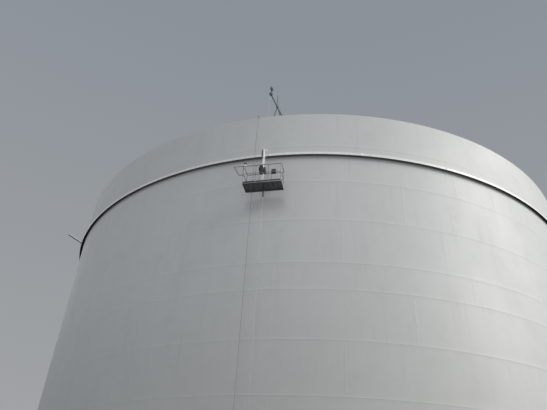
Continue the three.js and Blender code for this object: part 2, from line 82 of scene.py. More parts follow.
# Each paint: its colour, its faded colour, its dirt, then the values named here. The last may be left out.
paintValues = ("Patch Scale", "Fading", "Dirtiness", "Run Scale", "Gloss", "Peel Scale", "Lower Darkening")
paints = {
    "shellPaint": ((0.56, 0.57, 0.565), (0.5, 0.515, 0.515), dirt, (0.12, 0.45, 0.1, 3.0, 0.5, 40.0, 0.3)),
    "weldPaint": ((0.6, 0.61, 0.6), (0.52, 0.53, 0.52), dirt, (1.5, 0.5, 0.2, 8.0, 0.38, 30.0)),
    # Painted shade: a near-black finish for undersides and recesses.
    "girderShade": ((0.022, 0.023, 0.024), (0.035, 0.035, 0.036), (0.045, 0.035, 0.028),
                    (0.7, 0.7, 0.5, 4.0, 0.6, 60.0)),
    # Painted shade: a dark band for the wall in the recess behind the girder's leg.
    "oldPaint": ((0.25, 0.255, 0.26), (0.3, 0.3, 0.3), rust, (0.7, 0.7, 0.3, 4.0, 0.6, 60.0)),
    "girderPaint": ((0.79, 0.79, 0.77), (0.72, 0.725, 0.71), dirt, (0.5, 0.4, 0.2, 8.0, 0.36, 50.0)),
    "roofPaint": ((0.5, 0.51, 0.5), (0.4, 0.4, 0.385), (0.19, 0.175, 0.15),
                  (0.25, 0.8, 0.5, 1.2, 0.55, 30.0)),
    "bottomPrimer": ((0.16, 0.15, 0.14), (0.22, 0.2, 0.18), rust, (0.8, 0.7, 0.8, 4.0, 0.6, 60.0)),
    "davitPaint": ((0.105, 0.145, 0.15), (0.165, 0.205, 0.205), rust, (3.0, 0.7, 0.35, 22.0, 0.42, 160.0)),
    "whitePaint": ((0.88, 0.88, 0.86), (0.8, 0.8, 0.77), dirt, (3.0, 0.5, 0.22, 24.0, 0.34, 180.0)),
    "armPaint": ((0.96, 0.96, 0.95), (0.92, 0.92, 0.91), dirt, (3.0, 0.3, 0.1, 24.0, 0.3, 180.0)),
    "housingPaint": ((0.035, 0.038, 0.045), (0.06, 0.062, 0.066), (0.16, 0.15, 0.135),
                     (4.0, 0.6, 0.35, 30.0, 0.38, 260.0)),
    "boxPlastic": ((0.05, 0.052, 0.056), (0.075, 0.076, 0.08), (0.17, 0.165, 0.15),
                   (5.0, 0.5, 0.3, 30.0, 0.5, 500.0)),
    "castIron": ((0.055, 0.052, 0.05), (0.085, 0.075, 0.068), rust, (3.5, 0.7, 0.7, 18.0, 0.62, 140.0)),
    "fibreLine": ((0.23, 0.235, 0.24), (0.28, 0.28, 0.28), dirt, (6.0, 0.8, 0.3, 60.0, 0.8, 500.0)),
}
reliefs = {"usual": 0.0006, "metal": 0.0004, "weldPaint": 0.004, "castIron": 0.002, "fibreLine": 0.002}

# Each metal: its colour, dull colour and dirt, then patch scale, dirtiness, gloss and how metallic it is.
metals = {
    "ropeSteel": ((0.47, 0.48, 0.49), (0.36, 0.36, 0.36), (0.12, 0.1, 0.08), 7.0, 0.4, 0.36, 0.8),
    "zincBolt": ((0.42, 0.43, 0.44), (0.3, 0.3, 0.3), rust, 14.0, 0.5, 0.36, 0.85),
    "cradleAlloy": ((0.27, 0.275, 0.285), (0.17, 0.175, 0.18), (0.1, 0.098, 0.09), 4.0, 0.55, 0.34, 0.75),
    # Dark alloy, also laid on as painted shade on the undersides of the floor beams and of the end arm's
    # tube.
    "beamAlloy": ((0.085, 0.088, 0.095), (0.055, 0.058, 0.062), (0.06, 0.058, 0.052), 5.0, 0.5, 0.42, 0.5),
    "deckAlloy": ((0.13, 0.135, 0.14), (0.085, 0.088, 0.09), (0.075, 0.07, 0.062), 5.0, 0.6, 0.4, 0.7),
}

# Filled before the first piece is made.
finishes = {}
shapes = {}


def around(angle, radius, height):
    turn = math.radians(angle)
    return Vector((radius * math.sin(turn), -radius * math.cos(turn), height))


# Several values of one dictionary of settings, by their names.
def pick(settings, names):
    return [settings[name] for name in names.split()]


# The smaller angle between two directions round the tank.
def apart(angle, other):
    return abs((angle - other + 180.0) % 360.0 - 180.0)


def addObject(name, data):
    made = bpy.data.objects.new(name, data)
    bpy.context.scene.collection.objects.link(made)
    return made


def makeCamera():
    pitch, roll, yaw = map(math.radians, pick(cameraView, "pitch roll yaw"))
    level = Vector((math.cos(yaw), -math.sin(yaw), 0.0))
    ahead = Vector((math.sin(yaw), math.cos(yaw), 0.0))
    upward = Vector((0.0, 0.0, 1.0))
    look = math.cos(pitch) * ahead + math.sin(pitch) * upward
    over = math.cos(pitch) * upward - math.sin(pitch) * ahead
    right = math.cos(roll) * level + math.sin(roll) * over
    top = math.cos(roll) * over - math.sin(roll) * level
    data = bpy.data.cameras.new("photoCamera")
    data.lens = cameraView["lens"]
    data.sensor_width = cameraView["sensor"]
    data.clip_end = cameraView["reach"]
    camera = addObject("photoCamera", data)
    turn = Matrix((right, top, -look)).transposed().to_4x4()
    camera.matrix_world = Matrix.Translation(cameraView["place"]) @ turn
    bpy.context.scene.camera = camera


def makeWorld():
    world = bpy.data.worlds.new("studioWorld")
    world.use_nodes = True
    tree = world.node_tree
    coords = addNode(tree, "ShaderNodeTexCoord", {}, "Generated")
    height = addNode(tree, "ShaderNodeSeparateXYZ", {"Vector": coords}, "Z")
    sky = newNode(tree, "ShaderNodeValToRGB", {"Fac": height})
    sky.color_ramp.elements[0].color = fullColour(studio["skyLow"])
    sky.color_ramp.elements[1].color = fullColour(studio["skyTop"])
    sky.color_ramp.elements[1].position = 0.8
    light = {"Strength": studio["skyStrength"], "Color": sky.outputs["Color"]}
    fill(tree, tree.nodes["Background"].inputs, light)
    bpy.context.scene.world = world
    bpy.context.scene.view_settings.view_transform = "Standard"


def makeLamps():
    for name, (angle, height, softness, strength, colour) in lamps.items():
        data = bpy.data.lights.new(name, "SUN")
        data.angle = math.radians(softness)
        data.energy = strength
        data.color = colour
        lamp = addObject(name, data)
        distance = studio["lampDistance"]
        lamp.location = around(angle, distance, distance * math.tan(math.radians(height)))
        lamp.rotation_mode = "QUATERNION"
        lamp.rotation_quaternion = (-lamp.location).to_track_quat("-Z", "Y")


def makeFloor():
    half, height, colour = pick(studio, "floorHalf floorHeight floorColour")
    mesh = bpy.data.meshes.new("floor")
    signs = [(-1, -1), (1, -1), (1, 1), (-1, 1)]
    mesh.from_pydata([(half * x, half * y, height) for x, y in signs], [], [(0, 1, 2, 3)])
    addObject("floor", mesh)
    material, tree, shader = newMaterial("paleFloor")
    cloud = addCloud(tree, objectPlace(tree), 0.4)
    darker = fullColour([part * studio["floorShade"] for part in colour])
    blend = addMix(tree, cloud, fullColour(colour), darker)
    fill(tree, shader.inputs, {"Base Color": blend, "Roughness": 0.9})
    mesh.materials.append(material)


# Sockets and nodes of a tree. A value that is a socket is linked, any other is set.
def fill(tree, sockets, values):
    for key, value in values.items():
        if isinstance(value, bpy.types.NodeSocket):
            tree.links.new(value, sockets[key])
        else:
            sockets[key].default_value = value


def newNode(tree, kind, inputs, **settings):
    node = tree.nodes.new(kind)
    for key, value in settings.items():
        setattr(node, key, value)
    fill(tree, node.inputs, inputs)
    return node


def addNode(tree, kind, inputs, out=0, **settings):
    return newNode(tree, kind, inputs, **settings).outputs[out]


def useGroup(tree, group, inputs):
    return newNode(tree, "ShaderNodeGroup", inputs, node_tree=group).outputs


def addMath(tree, operation, first, second, clamp=False):
    return addNode(tree, "ShaderNodeMath", {0: first, 1: second}, operation=operation, use_clamp=clamp)


def times(tree, first, second, clamp=False):
    return addMath(tree, "MULTIPLY", first, second, clamp)


def addMix(tree, share, first, second):
    return addNode(tree, "ShaderNodeMix", {0: share, 6: first, 7: second}, 2, data_type="RGBA")


def addRange(tree, value, low, high):
    return addNode(tree, "ShaderNodeMapRange", {0: value, 1: low, 2: high}, interpolation_type="SMOOTHSTEP")


def addCloud(tree, place, scale, detail=2.0, roughness=0.5):
    inputs = {"Vector": place, "Scale": scale, "Detail": detail, "Roughness": roughness}
    return addNode(tree, "ShaderNodeTexNoise", inputs)


def objectPlace(tree):
    return addNode(tree, "ShaderNodeTexCoord", {}, "Object")


def fullColour(colour):
    return (*colour, 1.0)


def newMaterial(name):
    material = bpy.data.materials.new(name)
    material.use_nodes = True
    return material, material.node_tree, material.node_tree.nodes["Principled BSDF"]


numberSocket = "NodeSocketFloat"
colourSocket = "NodeSocketColor"
vectorSocket = "NodeSocketVector"
geometrySocket = "NodeSocketGeometry"
socketKinds = {float: numberSocket, int: "NodeSocketInt", tuple: colourSocket}
grey = (0.5, 0.5, 0.5, 1.0)


# A tree with its own sockets. An input is given by its default value or, where it has none, by its kind.
def newTree(name, kind, inputs, outputs):
    tree = bpy.data.node_groups.new(name, kind)
    for label, value in inputs.items():
        if isinstance(value, str):
            tree.interface.new_socket(label, in_out="INPUT", socket_type=value)
        else:
            socket = tree.interface.new_socket(label, in_out="INPUT", socket_type=socketKinds[type(value)])
            socket.default_value = value
    for label, socketKind in outputs.items():
        tree.interface.new_socket(label, in_out="OUTPUT", socket_type=socketKind)
    return tree, tree.nodes.new("NodeGroupInput").outputs, tree.nodes.new("NodeGroupOutput").inputs


# Soft patches of one size, for dirt, chalking and worn places.
def makePatches():
    inputs = {"Place": vectorSocket, "Scale": 1.0, "Low": 0.4, "High": 0.7}
    tree, given, out = newTree("patches", "ShaderNodeTree", inputs, {"Mask": numberSocket})
    cloud = addCloud(tree, given["Place"], given["Scale"], 6.0, 0.62)
    fill(tree, out, {"Mask": addRange(tree, cloud, given["Low"], given["High"])})
    return tree


# Thin upright runs that rain leaves on a wall.
def makeRuns():
    inputs = {"Place": vectorSocket, "Across": 6.0, "Along": 0.25, "Low": 0.5, "High": 0.75}
    tree, given, out = newTree("rainRuns", "ShaderNodeTree", inputs, {"Mask": numberSocket})
    axes = {"X": given["Across"], "Y": given["Across"], "Z": given["Along"]}
    stretch = addNode(tree, "ShaderNodeCombineXYZ", axes)
    place = addNode(tree, "ShaderNodeVectorMath", {0: given["Place"], 1: stretch}, operation="MULTIPLY")
    cloud = addCloud(tree, place, 1.0, 4.0, 0.55)
    fill(tree, out, {"Mask": addRange(tree, cloud, given["Low"], given["High"])})
    return tree


coatLook = {
    "spotScale": 9.0,
    "runLength": 0.3,
    "darkeningTop": 17.0,
    "darkeningFull": 4.0,
    "grimeRoughness": 0.25,
    "fadedRoughness": 0.08,
    "relief": 0.6,
}
metalLook = {"grain": 90.0, "markScale": 5.0, "grainRoughness": 0.22, "markRoughness": 0.3, "relief": 0.5}


# Brushed or rolled paint: colour with chalky patches, dirt, rain runs and a fine orange peel.
def makeCoat(patches, runs):
    inputs = {
        "Place": vectorSocket, "Paint": grey, "Faded": grey, "Dirt": grey, "Patch Scale": 0.3, "Fading": 0.5,
        "Dirtiness": 0.3, "Run Scale": 5.0, "Gloss": 0.45, "Peel Scale": 60.0, "Lower Darkening": 0.0,
    }
    outputs = {"Colour": colourSocket, "Roughness": numberSocket, "Height": numberSocket}
    tree, given, out = newTree("paintCoat", "ShaderNodeTree", inputs, outputs)
    place, soil = given["Place"], given["Dirt"]

    def mask(group, low, high, **values):
        return useGroup(tree, group, {"Place": place, "Low": low, "High": high, **values})["Mask"]

    faded = mask(patches, 0.35, 0.7, Scale=given["Patch Scale"])
    coat = addMix(tree, times(tree, faded, given["Fading"]), given["Paint"], given["Faded"])
    spots = mask(patches, 0.45, 0.8, Scale=times(tree, given["Patch Scale"], coatLook["spotScale"]))
    wet = mask(runs, 0.48, 0.8, Across=given["Run Scale"], Along=coatLook["runLength"])
    grime = times(tree, addMath(tree, "MAXIMUM", spots, wet), given["Dirtiness"], True)
    height = addNode(tree, "ShaderNodeSeparateXYZ", {"Vector": place}, "Z")
    # Darker towards the bottom: below one height the coat is mixed ever more towards its dirt colour.
    foot = times(tree, addRange(tree, height, coatLook["darkeningTop"], coatLook["darkeningFull"]), given["Lower Darkening"])
    rough = addMath(tree, "ADD", given["Gloss"], times(tree, grime, coatLook["grimeRoughness"]), True)
    fill(tree, out, {
        "Colour": addMix(tree, foot, addMix(tree, grime, coat, soil), soil),
        "Roughness": addMath(tree, "ADD", rough, times(tree, faded, coatLook["fadedRoughness"]), True),
        "Height": addCloud(tree, place, given["Peel Scale"], 3.0),
    })
    return tree


def dress(tree, shader, colour, roughness, height, depth, strength):
    relief = addNode(tree, "ShaderNodeBump", {"Height": height, "Distance": depth, "Strength": strength})
    fill(tree, shader.inputs, {"Base Color": colour, "Roughness": roughness, "Normal": relief})


# A painted finish made from the shared coat, each with its own values.
def makePaint(name, coatGroup, paint, faded, soil, values):
    material, tree, shader = newMaterial(name)
    coat = useGroup(tree, coatGroup, {
        "Place": objectPlace(tree), "Paint": fullColour(paint), "Faded": fullColour(faded),
        "Dirt": fullColour(soil), **dict(zip(paintValues, values)),
    })
    depth = reliefs.get(name, reliefs["usual"])
    dress(tree, shader, coat["Colour"], coat["Roughness"], coat["Height"], depth, coatLook["relief"])
    return material


# Bare or plated metal with patches of tarnish, fine scratches and some rust or dirt.
def makeMetal(name, patches, bright, dull, soil, patchScale, dirtiness, gloss, metallic):
    material, tree, shader = newMaterial(name)
    place = objectPlace(tree)

    def mask(scale, low, high):
        return useGroup(tree, patches, {"Place": place, "Scale": scale, "Low": low, "High": high})["Mask"]

    scratch = addCloud(tree, place, metalLook["grain"], 4.0)
    marked = times(tree, mask(patchScale * metalLook["markScale"], 0.5, 0.7), dirtiness, True)
    clean = addMix(tree, mask(patchScale, 0.3, 0.75), fullColour(bright), fullColour(dull))
    rough = times(tree, scratch, metalLook["grainRoughness"])
    rough = addMath(tree, "ADD", rough, times(tree, marked, metalLook["markRoughness"]))
    rough = addMath(tree, "ADD", rough, gloss, True)
    colour = addMix(tree, marked, clean, fullColour(soil))
    dress(tree, shader, colour, rough, scratch, reliefs["metal"], metalLook["relief"])
    fill(tree, shader.inputs, {"Metallic": addMath(tree, "SUBTRACT", metallic, marked, True)})
    return material


def makeFinishes():
    patches = makePatches()
    coat = makeCoat(patches, makeRuns())
    for name, values in paints.items():
        finishes[name] = makePaint(name, coat, *values)
    for name, values in metals.items():
        finishes[name] = makeMetal(name, patches, *values)
    # The painted shade reflects little, so that it stays dark.
    shade = finishes["girderShade"].node_tree.nodes["Principled BSDF"]
    shade.inputs["Specular IOR Level"].default_value = 0.1


# Mesh helpers. Every piece is built in the tank's own frame, with its object at the origin.
def finishMesh(name, work, body, coats, node=None, smoothAngle=35.0):
    bmesh.ops.recalc_face_normals(work, faces=work.faces)
    mesh = bpy.data.meshes.new(name)
    work.to_mesh(mesh)
    work.free()
    for coat in coats.split():
        mesh.materials.append(finishes[coat])
    finishPiece(name, mesh, body, node, smoothAngle)


def finishPiece(name, mesh, body, node=None, smoothAngle=35.0):
    mesh.shade_smooth()
    mesh.set_sharp_from_angle(angle=math.radians(smoothAngle))
    piece = addObject(name, mesh)
    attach(piece, body)
    if node:
        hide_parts(node)


# Painted shade: the second, dark finish of a piece goes on the faces that look down more than a threshold.
def shadeBelow(work, threshold):
    work.normal_update()
    for face in work.faces:
        if face.normal.z < -threshold:
            face.material_index = 1


# Faces between neighbouring rows of points. A row of one point is a pole.
def joinRows(work, rows, finish=0):
    steps = max(len(row) for row in rows)
    for lower, upper in zip(rows, rows[1:]):
        for step in range(steps):
            after = (step + 1) % steps
            corners = [lower[step % len(lower)], lower[after % len(lower)]]
            corners += [upper[after % len(upper)], upper[step % len(upper)]]
            unique = list(dict.fromkeys(corners))
            if len(unique) > 2:
                work.faces.new(unique).material_index = finish


# A section swept round the axis. The section is a function of the angle.
def addSweep(work, section, angles, closed=True):
    rows = [[work.verts.new(around(angle, *point)) for point in section(angle)] for angle in angles]
    joinRows(work, rows + rows[:1] if closed else rows)
    if not closed:
        work.faces.new(rows[0])
        work.faces.new(rows[-1])


# Even steps round the ring, with close ones about each weld, where an even one too near them is left out.
def ringAngles(steps, welds=(), spread=(0.0,)):
    angles = {round(360.0 * step / steps, 4) for step in range(steps)}
    leastShare = 0.09
    clear = max(spread) + leastShare * 360.0 / steps
    for weld in welds:
        angles = {angle for angle in angles if apart(angle, weld) > clear}
        angles |= {round((weld + sign * offset) % 360.0, 4) for sign in (1, -1) for offset in spread}
    return sorted(angles)


# Evenly spaced points on a circle about the local Z.
def circle(count, radius, height, shift=0.0, total=None):
    turns = [2 * math.pi * (step + shift) / count for step in range(total or count)]
    return [Vector((radius * math.cos(turn), radius * math.sin(turn), height)) for turn in turns]


# A matrix whose Z runs along a direction, with its origin at a point.
def standOn(point, facing):
    return Matrix.Translation(point) @ Vector(facing).to_track_quat("Z", "Y").to_matrix().to_4x4()


def addBlock(work, place, size, centre, ease=0.003, segments=2, finish=0):
    made = bmesh.ops.create_cube(work, size=1.0)["verts"]
    bmesh.ops.scale(work, vec=Vector(size), verts=made)
    bmesh.ops.translate(work, vec=Vector(centre), verts=made)
    bmesh.ops.transform(work, matrix=place, verts=made)
    edges = list({edge for vert in made for edge in vert.link_edges})
    for face in {face for vert in made for face in vert.link_faces}:
        face.material_index = finish
    bmesh.ops.bevel(work, geom=edges, offset=ease, segments=segments, affect="EDGES", profile=0.5,
                    material=-1, clamp_overlap=True)


# Each row is a block: size, centre, and how much and in how many steps its edges are eased.
def addBlocks(work, place, rows, finish=0):
    for row in rows:
        addBlock(work, place, *row, finish=finish)


# A closed profile turned about the local Z. A point on the axis becomes a pole.
def addTurned(work, place, steps, profile, finish=0):
    rows = []
    for radius, height in profile:
        points = circle(steps, radius, height) if radius else [Vector((0.0, 0.0, height))]
        rows.append([work.verts.new(place @ point) for point in points])
    joinRows(work, rows + rows[:1] if len(rows[0]) > 1 else rows, finish)


def disc(radius, low, high, ease):
    return [(0.0, low), (radius - ease, low), (radius, low + ease), (radius, high - ease),
            (radius - ease, high), (0.0, high)]


def tubeRing(inner, radius, low, high, ease=0.0):
    if ease:
        return [(inner, low), *disc(radius, low, high, ease)[1:5], (inner, high)]
    return [(inner, low), (radius, low), (radius, high), (inner, high)]


def addRod(work, place, start, end, radius, steps=16, wall=0.0, ease=0.0015, finish=0):
    start, end = place @ Vector(start), place @ Vector(end)
    length = (end - start).length
    profile = tubeRing(radius - wall, radius, 0.0, length, ease) if wall else disc(radius, 0.0, length, ease)
    addTurned(work, standOn(start, end - start), steps, profile, finish)


# A pipe of one thickness that follows points, with rounded corners and closed ends.
def addPipe(work, place, points, radius, steps=12, bend=0.0, bendSteps=5, finish=0):
    points = rounded(points, bend, bendSteps) if bend else [Vector(point) for point in points]
    points = [place @ point for point in points]
    rows = []
    side = None
    for index, point in enumerate(points):
        before = points[max(index - 1, 0)]
        after = points[min(index + 1, len(points) - 1)]
        along = (after - before).normalized()
        if side is None:
            side = along.orthogonal().normalized()
        side = (side - along * side.dot(along)).normalized()
        across = along.cross(side)
        offsets = [turn.x * side + turn.y * across for turn in circle(steps, 1.0, 0.0)]
        rows.append([work.verts.new(point + radius * offset) for offset in offsets])
    joinRows(work, rows, finish)
    for row in (rows[0], rows[-1]):
        work.faces.new(row).material_index = finish


# Points along a run of straight lines whose corners are rounded.
def rounded(points, radius, steps):
    points = [Vector(point) for point in points]
    path = [points[0]]
    for before, corner, after in zip(points, points[1:], points[2:]):
        towards, onward = (before - corner).normalized(), (after - corner).normalized()
        for step in range(steps + 1):
            share = step / steps
            start, end = corner + towards * radius, corner + onward * radius
            path.append(start.lerp(corner, share).lerp(corner.lerp(end, share), share))
    return path + [points[-1]]


# Geometry node trees for what repeats or follows a line.
def newShape(name, inputs):
    sockets = {"Geometry": geometrySocket, **inputs, "Finish": "NodeSocketMaterial"}
    return newTree(name, "GeometryNodeTree", sockets, {"Geometry": geometrySocket})


def endShape(tree, given, out, shape):
    real = addNode(tree, "GeometryNodeRealizeInstances", {"Geometry": shape})
    coated = addNode(tree, "GeometryNodeSetMaterial", {"Geometry": real, "Material": given["Finish"]})
    fill(tree, out, {"Geometry": coated})
    return tree


def addFacing(tree):
    return addNode(tree, "GeometryNodeInputNamedAttribute", {"Name": "facing"}, data_type="FLOAT_VECTOR")


def addCopies(tree, points, shape, rotation):
    inputs = {"Points": points, "Instance": shape, "Rotation": rotation}
    return addNode(tree, "GeometryNodeInstanceOnPoints", inputs)


def addEvenLine(tree, mesh, length):
    line = addNode(tree, "GeometryNodeMeshToCurve", {"Mesh": mesh})
    return addNode(tree, "GeometryNodeResampleCurve", {"Curve": line, "Length": length}, mode="LENGTH")


# A hexagon bolt with its washer and thread end on each point, facing the way the point says.
def boltShape():
    tree, given, out = newShape("hexBolts", {"Across Flats": 0.03})
    joined = newNode(tree, "GeometryNodeJoinGeometry", {})
    # Washer, head and thread end: sides, then radius, depth and lift as shares of the size across flats.
    for sides, *shares in ((18, 0.95, 0.14, 0.07), (6, 0.577, 0.62, 0.45), (10, 0.31, 0.62, 0.72)):
        radius, depth, lift = (times(tree, given["Across Flats"], share) for share in shares)
        drum = {"Vertices": sides, "Radius": radius, "Depth": depth}
        lifted = addNode(tree, "GeometryNodeTransform", {
            "Geometry": addNode(tree, "GeometryNodeMeshCylinder", drum),
            "Translation": addNode(tree, "ShaderNodeCombineXYZ", {"Z": lift}),
        })
        tree.links.new(lifted, joined.inputs[0])
    inputs = {"Min": 0.0, "Max": 6.283, "Seed": 3}
    spin = addNode(tree, "FunctionNodeRandomValue", inputs, "Value", data_type="FLOAT")
    axes = addNode(tree, "ShaderNodeCombineXYZ", {"Z": spin})
    inputs = {"Rotation": addNode(tree, "FunctionNodeEulerToRotation", {0: axes}), "Vector": addFacing(tree)}
    turn = addNode(tree, "FunctionNodeAlignRotationToVector", inputs, axis="Z")
    return endShape(tree, given, out, addCopies(tree, given["Geometry"], joined.outputs[0], turn))


# A bead of weld with even ripples along each line.
def weldShape():
    inputs = {"Bead Radius": 0.006, "Ripple Pitch": 0.006, "Ripple Depth": 0.18}
    tree, given, out = newShape("weldBeads", inputs)
    even = addEvenLine(tree, given["Geometry"], given["Ripple Pitch"])
    index = addNode(tree, "GeometryNodeInputIndex", {})
    swell = times(tree, addMath(tree, "MODULO", index, 2.0), given["Ripple Depth"])
    radius = times(tree, addMath(tree, "ADD", swell, 1.0), given["Bead Radius"])
    ring = addNode(tree, "GeometryNodeCurvePrimitiveCircle", {"Resolution": 7, "Radius": 1.0})
    sized = addNode(tree, "GeometryNodeSetCurveRadius", {"Curve": even, "Radius": radius})
    section = {"Curve": sized, "Profile Curve": ring, "Scale": radius, "Fill Caps": True}
    return endShape(tree, given, out, addNode(tree, "GeometryNodeCurveToMesh", section))


# A laid rope: a lobed section that turns once in each lay length.
def ropeShape():
    inputs = {"Rope Radius": 0.006, "Strands": 6, "Lay Length": 0.09, "Step": 0.015}
    tree, given, out = newShape("laidRope", inputs)
    even = addEvenLine(tree, given["Geometry"], given["Step"])
    along = addNode(tree, "GeometryNodeSplineParameter", {}, "Length")
    tilt = times(tree, addMath(tree, "DIVIDE", along, given["Lay Length"]), 6.28318)
    twisted = addNode(tree, "GeometryNodeSetCurveTilt", {"Curve": even, "Tilt": tilt})
    inner = times(tree, given["Rope Radius"], 0.76)
    points = {"Points": given["Strands"], "Inner Radius": inner, "Outer Radius": given["Rope Radius"]}
    star = addNode(tree, "GeometryNodeCurveStar", points)
    section = {"Curve": twisted, "Profile Curve": star, "Fill Caps": True}
    return endShape(tree, given, out, addNode(tree, "GeometryNodeCurveToMesh", section))


# Raised lozenges of a tread plate, each turned the way its point says.
def treadShape():
    inputs = {"Long Half": 0.014, "Wide Half": 0.0045, "Rise": 0.0018}
    tree, given, out = newShape("treadLozenges", inputs)
    cone = {"Vertices": 8, "Radius Top": 0.55, "Radius Bottom": 1.0, "Depth": 1.0}
    axes = {"X": given["Long Half"], "Y": given["Wide Half"], "Z": given["Rise"]}
    lozenge = addNode(tree, "GeometryNodeTransform", {
        "Geometry": addNode(tree, "GeometryNodeMeshCone", cone),
        "Scale": addNode(tree, "ShaderNodeCombineXYZ", axes),
    })
    rotation = addNode(tree, "FunctionNodeEulerToRotation", {0: addFacing(tree)})
    return endShape(tree, given, out, addCopies(tree, given["Geometry"], lozenge, rotation))


def growMesh(name, shape, coat, points, values, edges=(), facings=None):
    mesh = bpy.data.meshes.new(name + "Seed")
    mesh.from_pydata([tuple(point) for point in points], list(edges), [])
    if facings:
        mark = mesh.attributes.new("facing", "FLOAT_VECTOR", "POINT")
        mark.data.foreach_set("vector", [part for facing in facings for part in facing])
    seed = addObject(name + "Seed", mesh)
    modifier = seed.modifiers.new("grow", "NODES")
    tree = shapes[shape]
    modifier.node_group = tree
    sockets = {item.name: item.identifier for item in tree.interface.items_tree if item.in_out == "INPUT"}
    for label, value in {**values, "Finish": finishes[coat]}.items():
        modifier[sockets[label]] = value
    graph = bpy.context.evaluated_depsgraph_get()
    grown = bpy.data.meshes.new_from_object(seed.evaluated_get(graph))
    seed.modifiers.remove(modifier)
    bpy.data.objects.remove(seed)
    grown.name = name
    return grown


# Places for bolts: where each stands and which way it faces.
def spotsAt(place, facing, points):
    turned = place.to_3x3() @ Vector(facing)
    return [(place @ Vector(point), turned) for point in points]


def addBolts(name, spots, flats, body):
    points, facings = zip(*spots)
    mesh = growMesh(name, "bolt", "zincBolt", points, {"Across Flats": flats}, facings=facings)
    finishPiece(name, mesh, body, None, 40.0)


def addWelds(name, coat, lines, radius, body):
    points, edges = [], []
    for line in lines:
        edges += [(len(points) + index, len(points) + index + 1) for index in range(len(line) - 1)]
        points += line
    values = {"Bead Radius": radius, "Ripple Pitch": max(0.004, radius * 0.9)}
    finishPiece(name, growMesh(name, "weld", coat, points, values, edges), body, None, 80.0)


# A closed line round the local Z of a place.
def circleLine(place, radius, height, steps=48):
    return [place @ point for point in circle(steps, radius, height, total=steps + 1)]


# The wall behind the girder's leg, from a little below the leg to the flange, carries a band of painted
# shade.
girder = {
    "top": 20.045,
    "inner": 18.9843,
    "reach": 0.185,
    "leg": 0.165,
    "thick": 0.012,
    "bead": 0.009,
    "ease": 0.003,
    "steps": 360,
    "splices": [7.5 + 15.0 * number for number in range(24)],
    "spliceHalf": 0.03,
    "spliceProud": 0.002,
    "spliceSpread": (0.0, 0.018, 0.03),
    "sag": 0.004,
    "bulge": 0.003,
    "shaded": (19.874, 20.03),
}
shell = {
    "steps": 300,
    "beadProud": 0.0028,
    "beadHalf": 0.011,
    "peak": 0.0056,
    "peakHalf": 0.075,
    "firstWeld": 4.0,
    "uprightProud": 0.0009,
    "uprightHalf": 0.036,
    "uprightSpread": (0.0, 0.022, 0.036, 0.3, 0.75),
    "uprightPeak": 0.0007,
    "uprightPeakHalf": 0.45,
    "offsets": (0.0, 0.006, 0.0115, 0.035, 0.075, 0.15, 0.32, 0.62),
    "fade": 0.4,
    "wave": 0.003,
    "waveScale": 0.32,
}


def beadLift(distance, half, proud):
    return max(0.0, 1.0 - (distance / half) ** 2) * proud


def peakLift(distance, half, peak):
    return peak * math.exp(-((distance / half) ** 2))


def makeCourses():
    pitch = 360.0 / tank["platesRound"]
    last = len(tank["thickness"]) - 1
    for index, thickness in enumerate(tank["thickness"]):
        low, high = tank["seams"][index], tank["seams"][index + 1]
        outer = tank["innerRadius"] + thickness
        first = (index % 3) * pitch / 3
        welds = [first + plate * pitch + shell["firstWeld"] for plate in range(tank["platesRound"])]
        heights = {low + step for step in shell["offsets"]} | {high - step for step in shell["offsets"]}
        heights.add((low + high) / 2)
        shaded = low < girder["top"] < high
        if shaded:
            heights.update(girder["shaded"])
        heights = sorted(heights)
        ends = [end for end, joined in ((low, index > 0), (high, index < last)) if joined]

        def section(angle):
            gap = min(apart(angle, weld) for weld in welds)
            bead = beadLift(gap, shell["uprightHalf"], shell["uprightProud"])
            soft = peakLift(gap, shell["uprightPeakHalf"], shell["uprightPeak"])
            points = []
            for height in heights:
                lift = max(beadLift(height - end, shell["beadHalf"], shell["beadProud"])
                           + peakLift(height - end, shell["peakHalf"], shell["peak"]) for end in ends)
                fade = min(1.0, min(height - low, high - height) / shell["fade"])
                wave = noise.noise(around(angle, 19.0, height) * shell["waveScale"]) * shell["wave"] * fade
                points.append((outer + max(lift, bead + soft * fade) + wave, height))
            return points + [(tank["innerRadius"], high), (tank["innerRadius"], low)]

        work = bmesh.new()
        addSweep(work, section, ringAngles(shell["steps"], welds, shell["uprightSpread"]))
        # Painted shade: the wall faces between the shaded heights, behind the girder's leg, get the dark
        # band.
        if shaded:
            lowest, highest = girder["shaded"]
            for face in work.faces:
                middle = face.calc_center_median()
                if lowest < middle.z < highest and middle.xy.length > outer - thickness / 2:
                    face.material_index = 1
        coats = "shellPaint oldPaint" if shaded else "shellPaint"
        label = f"course_{index + 1:02d}"
        finishMesh("wall_" + label, work, "tank", coats, "shell_" + label, 50.0)
    print("tank: ten courses rolled and welded")


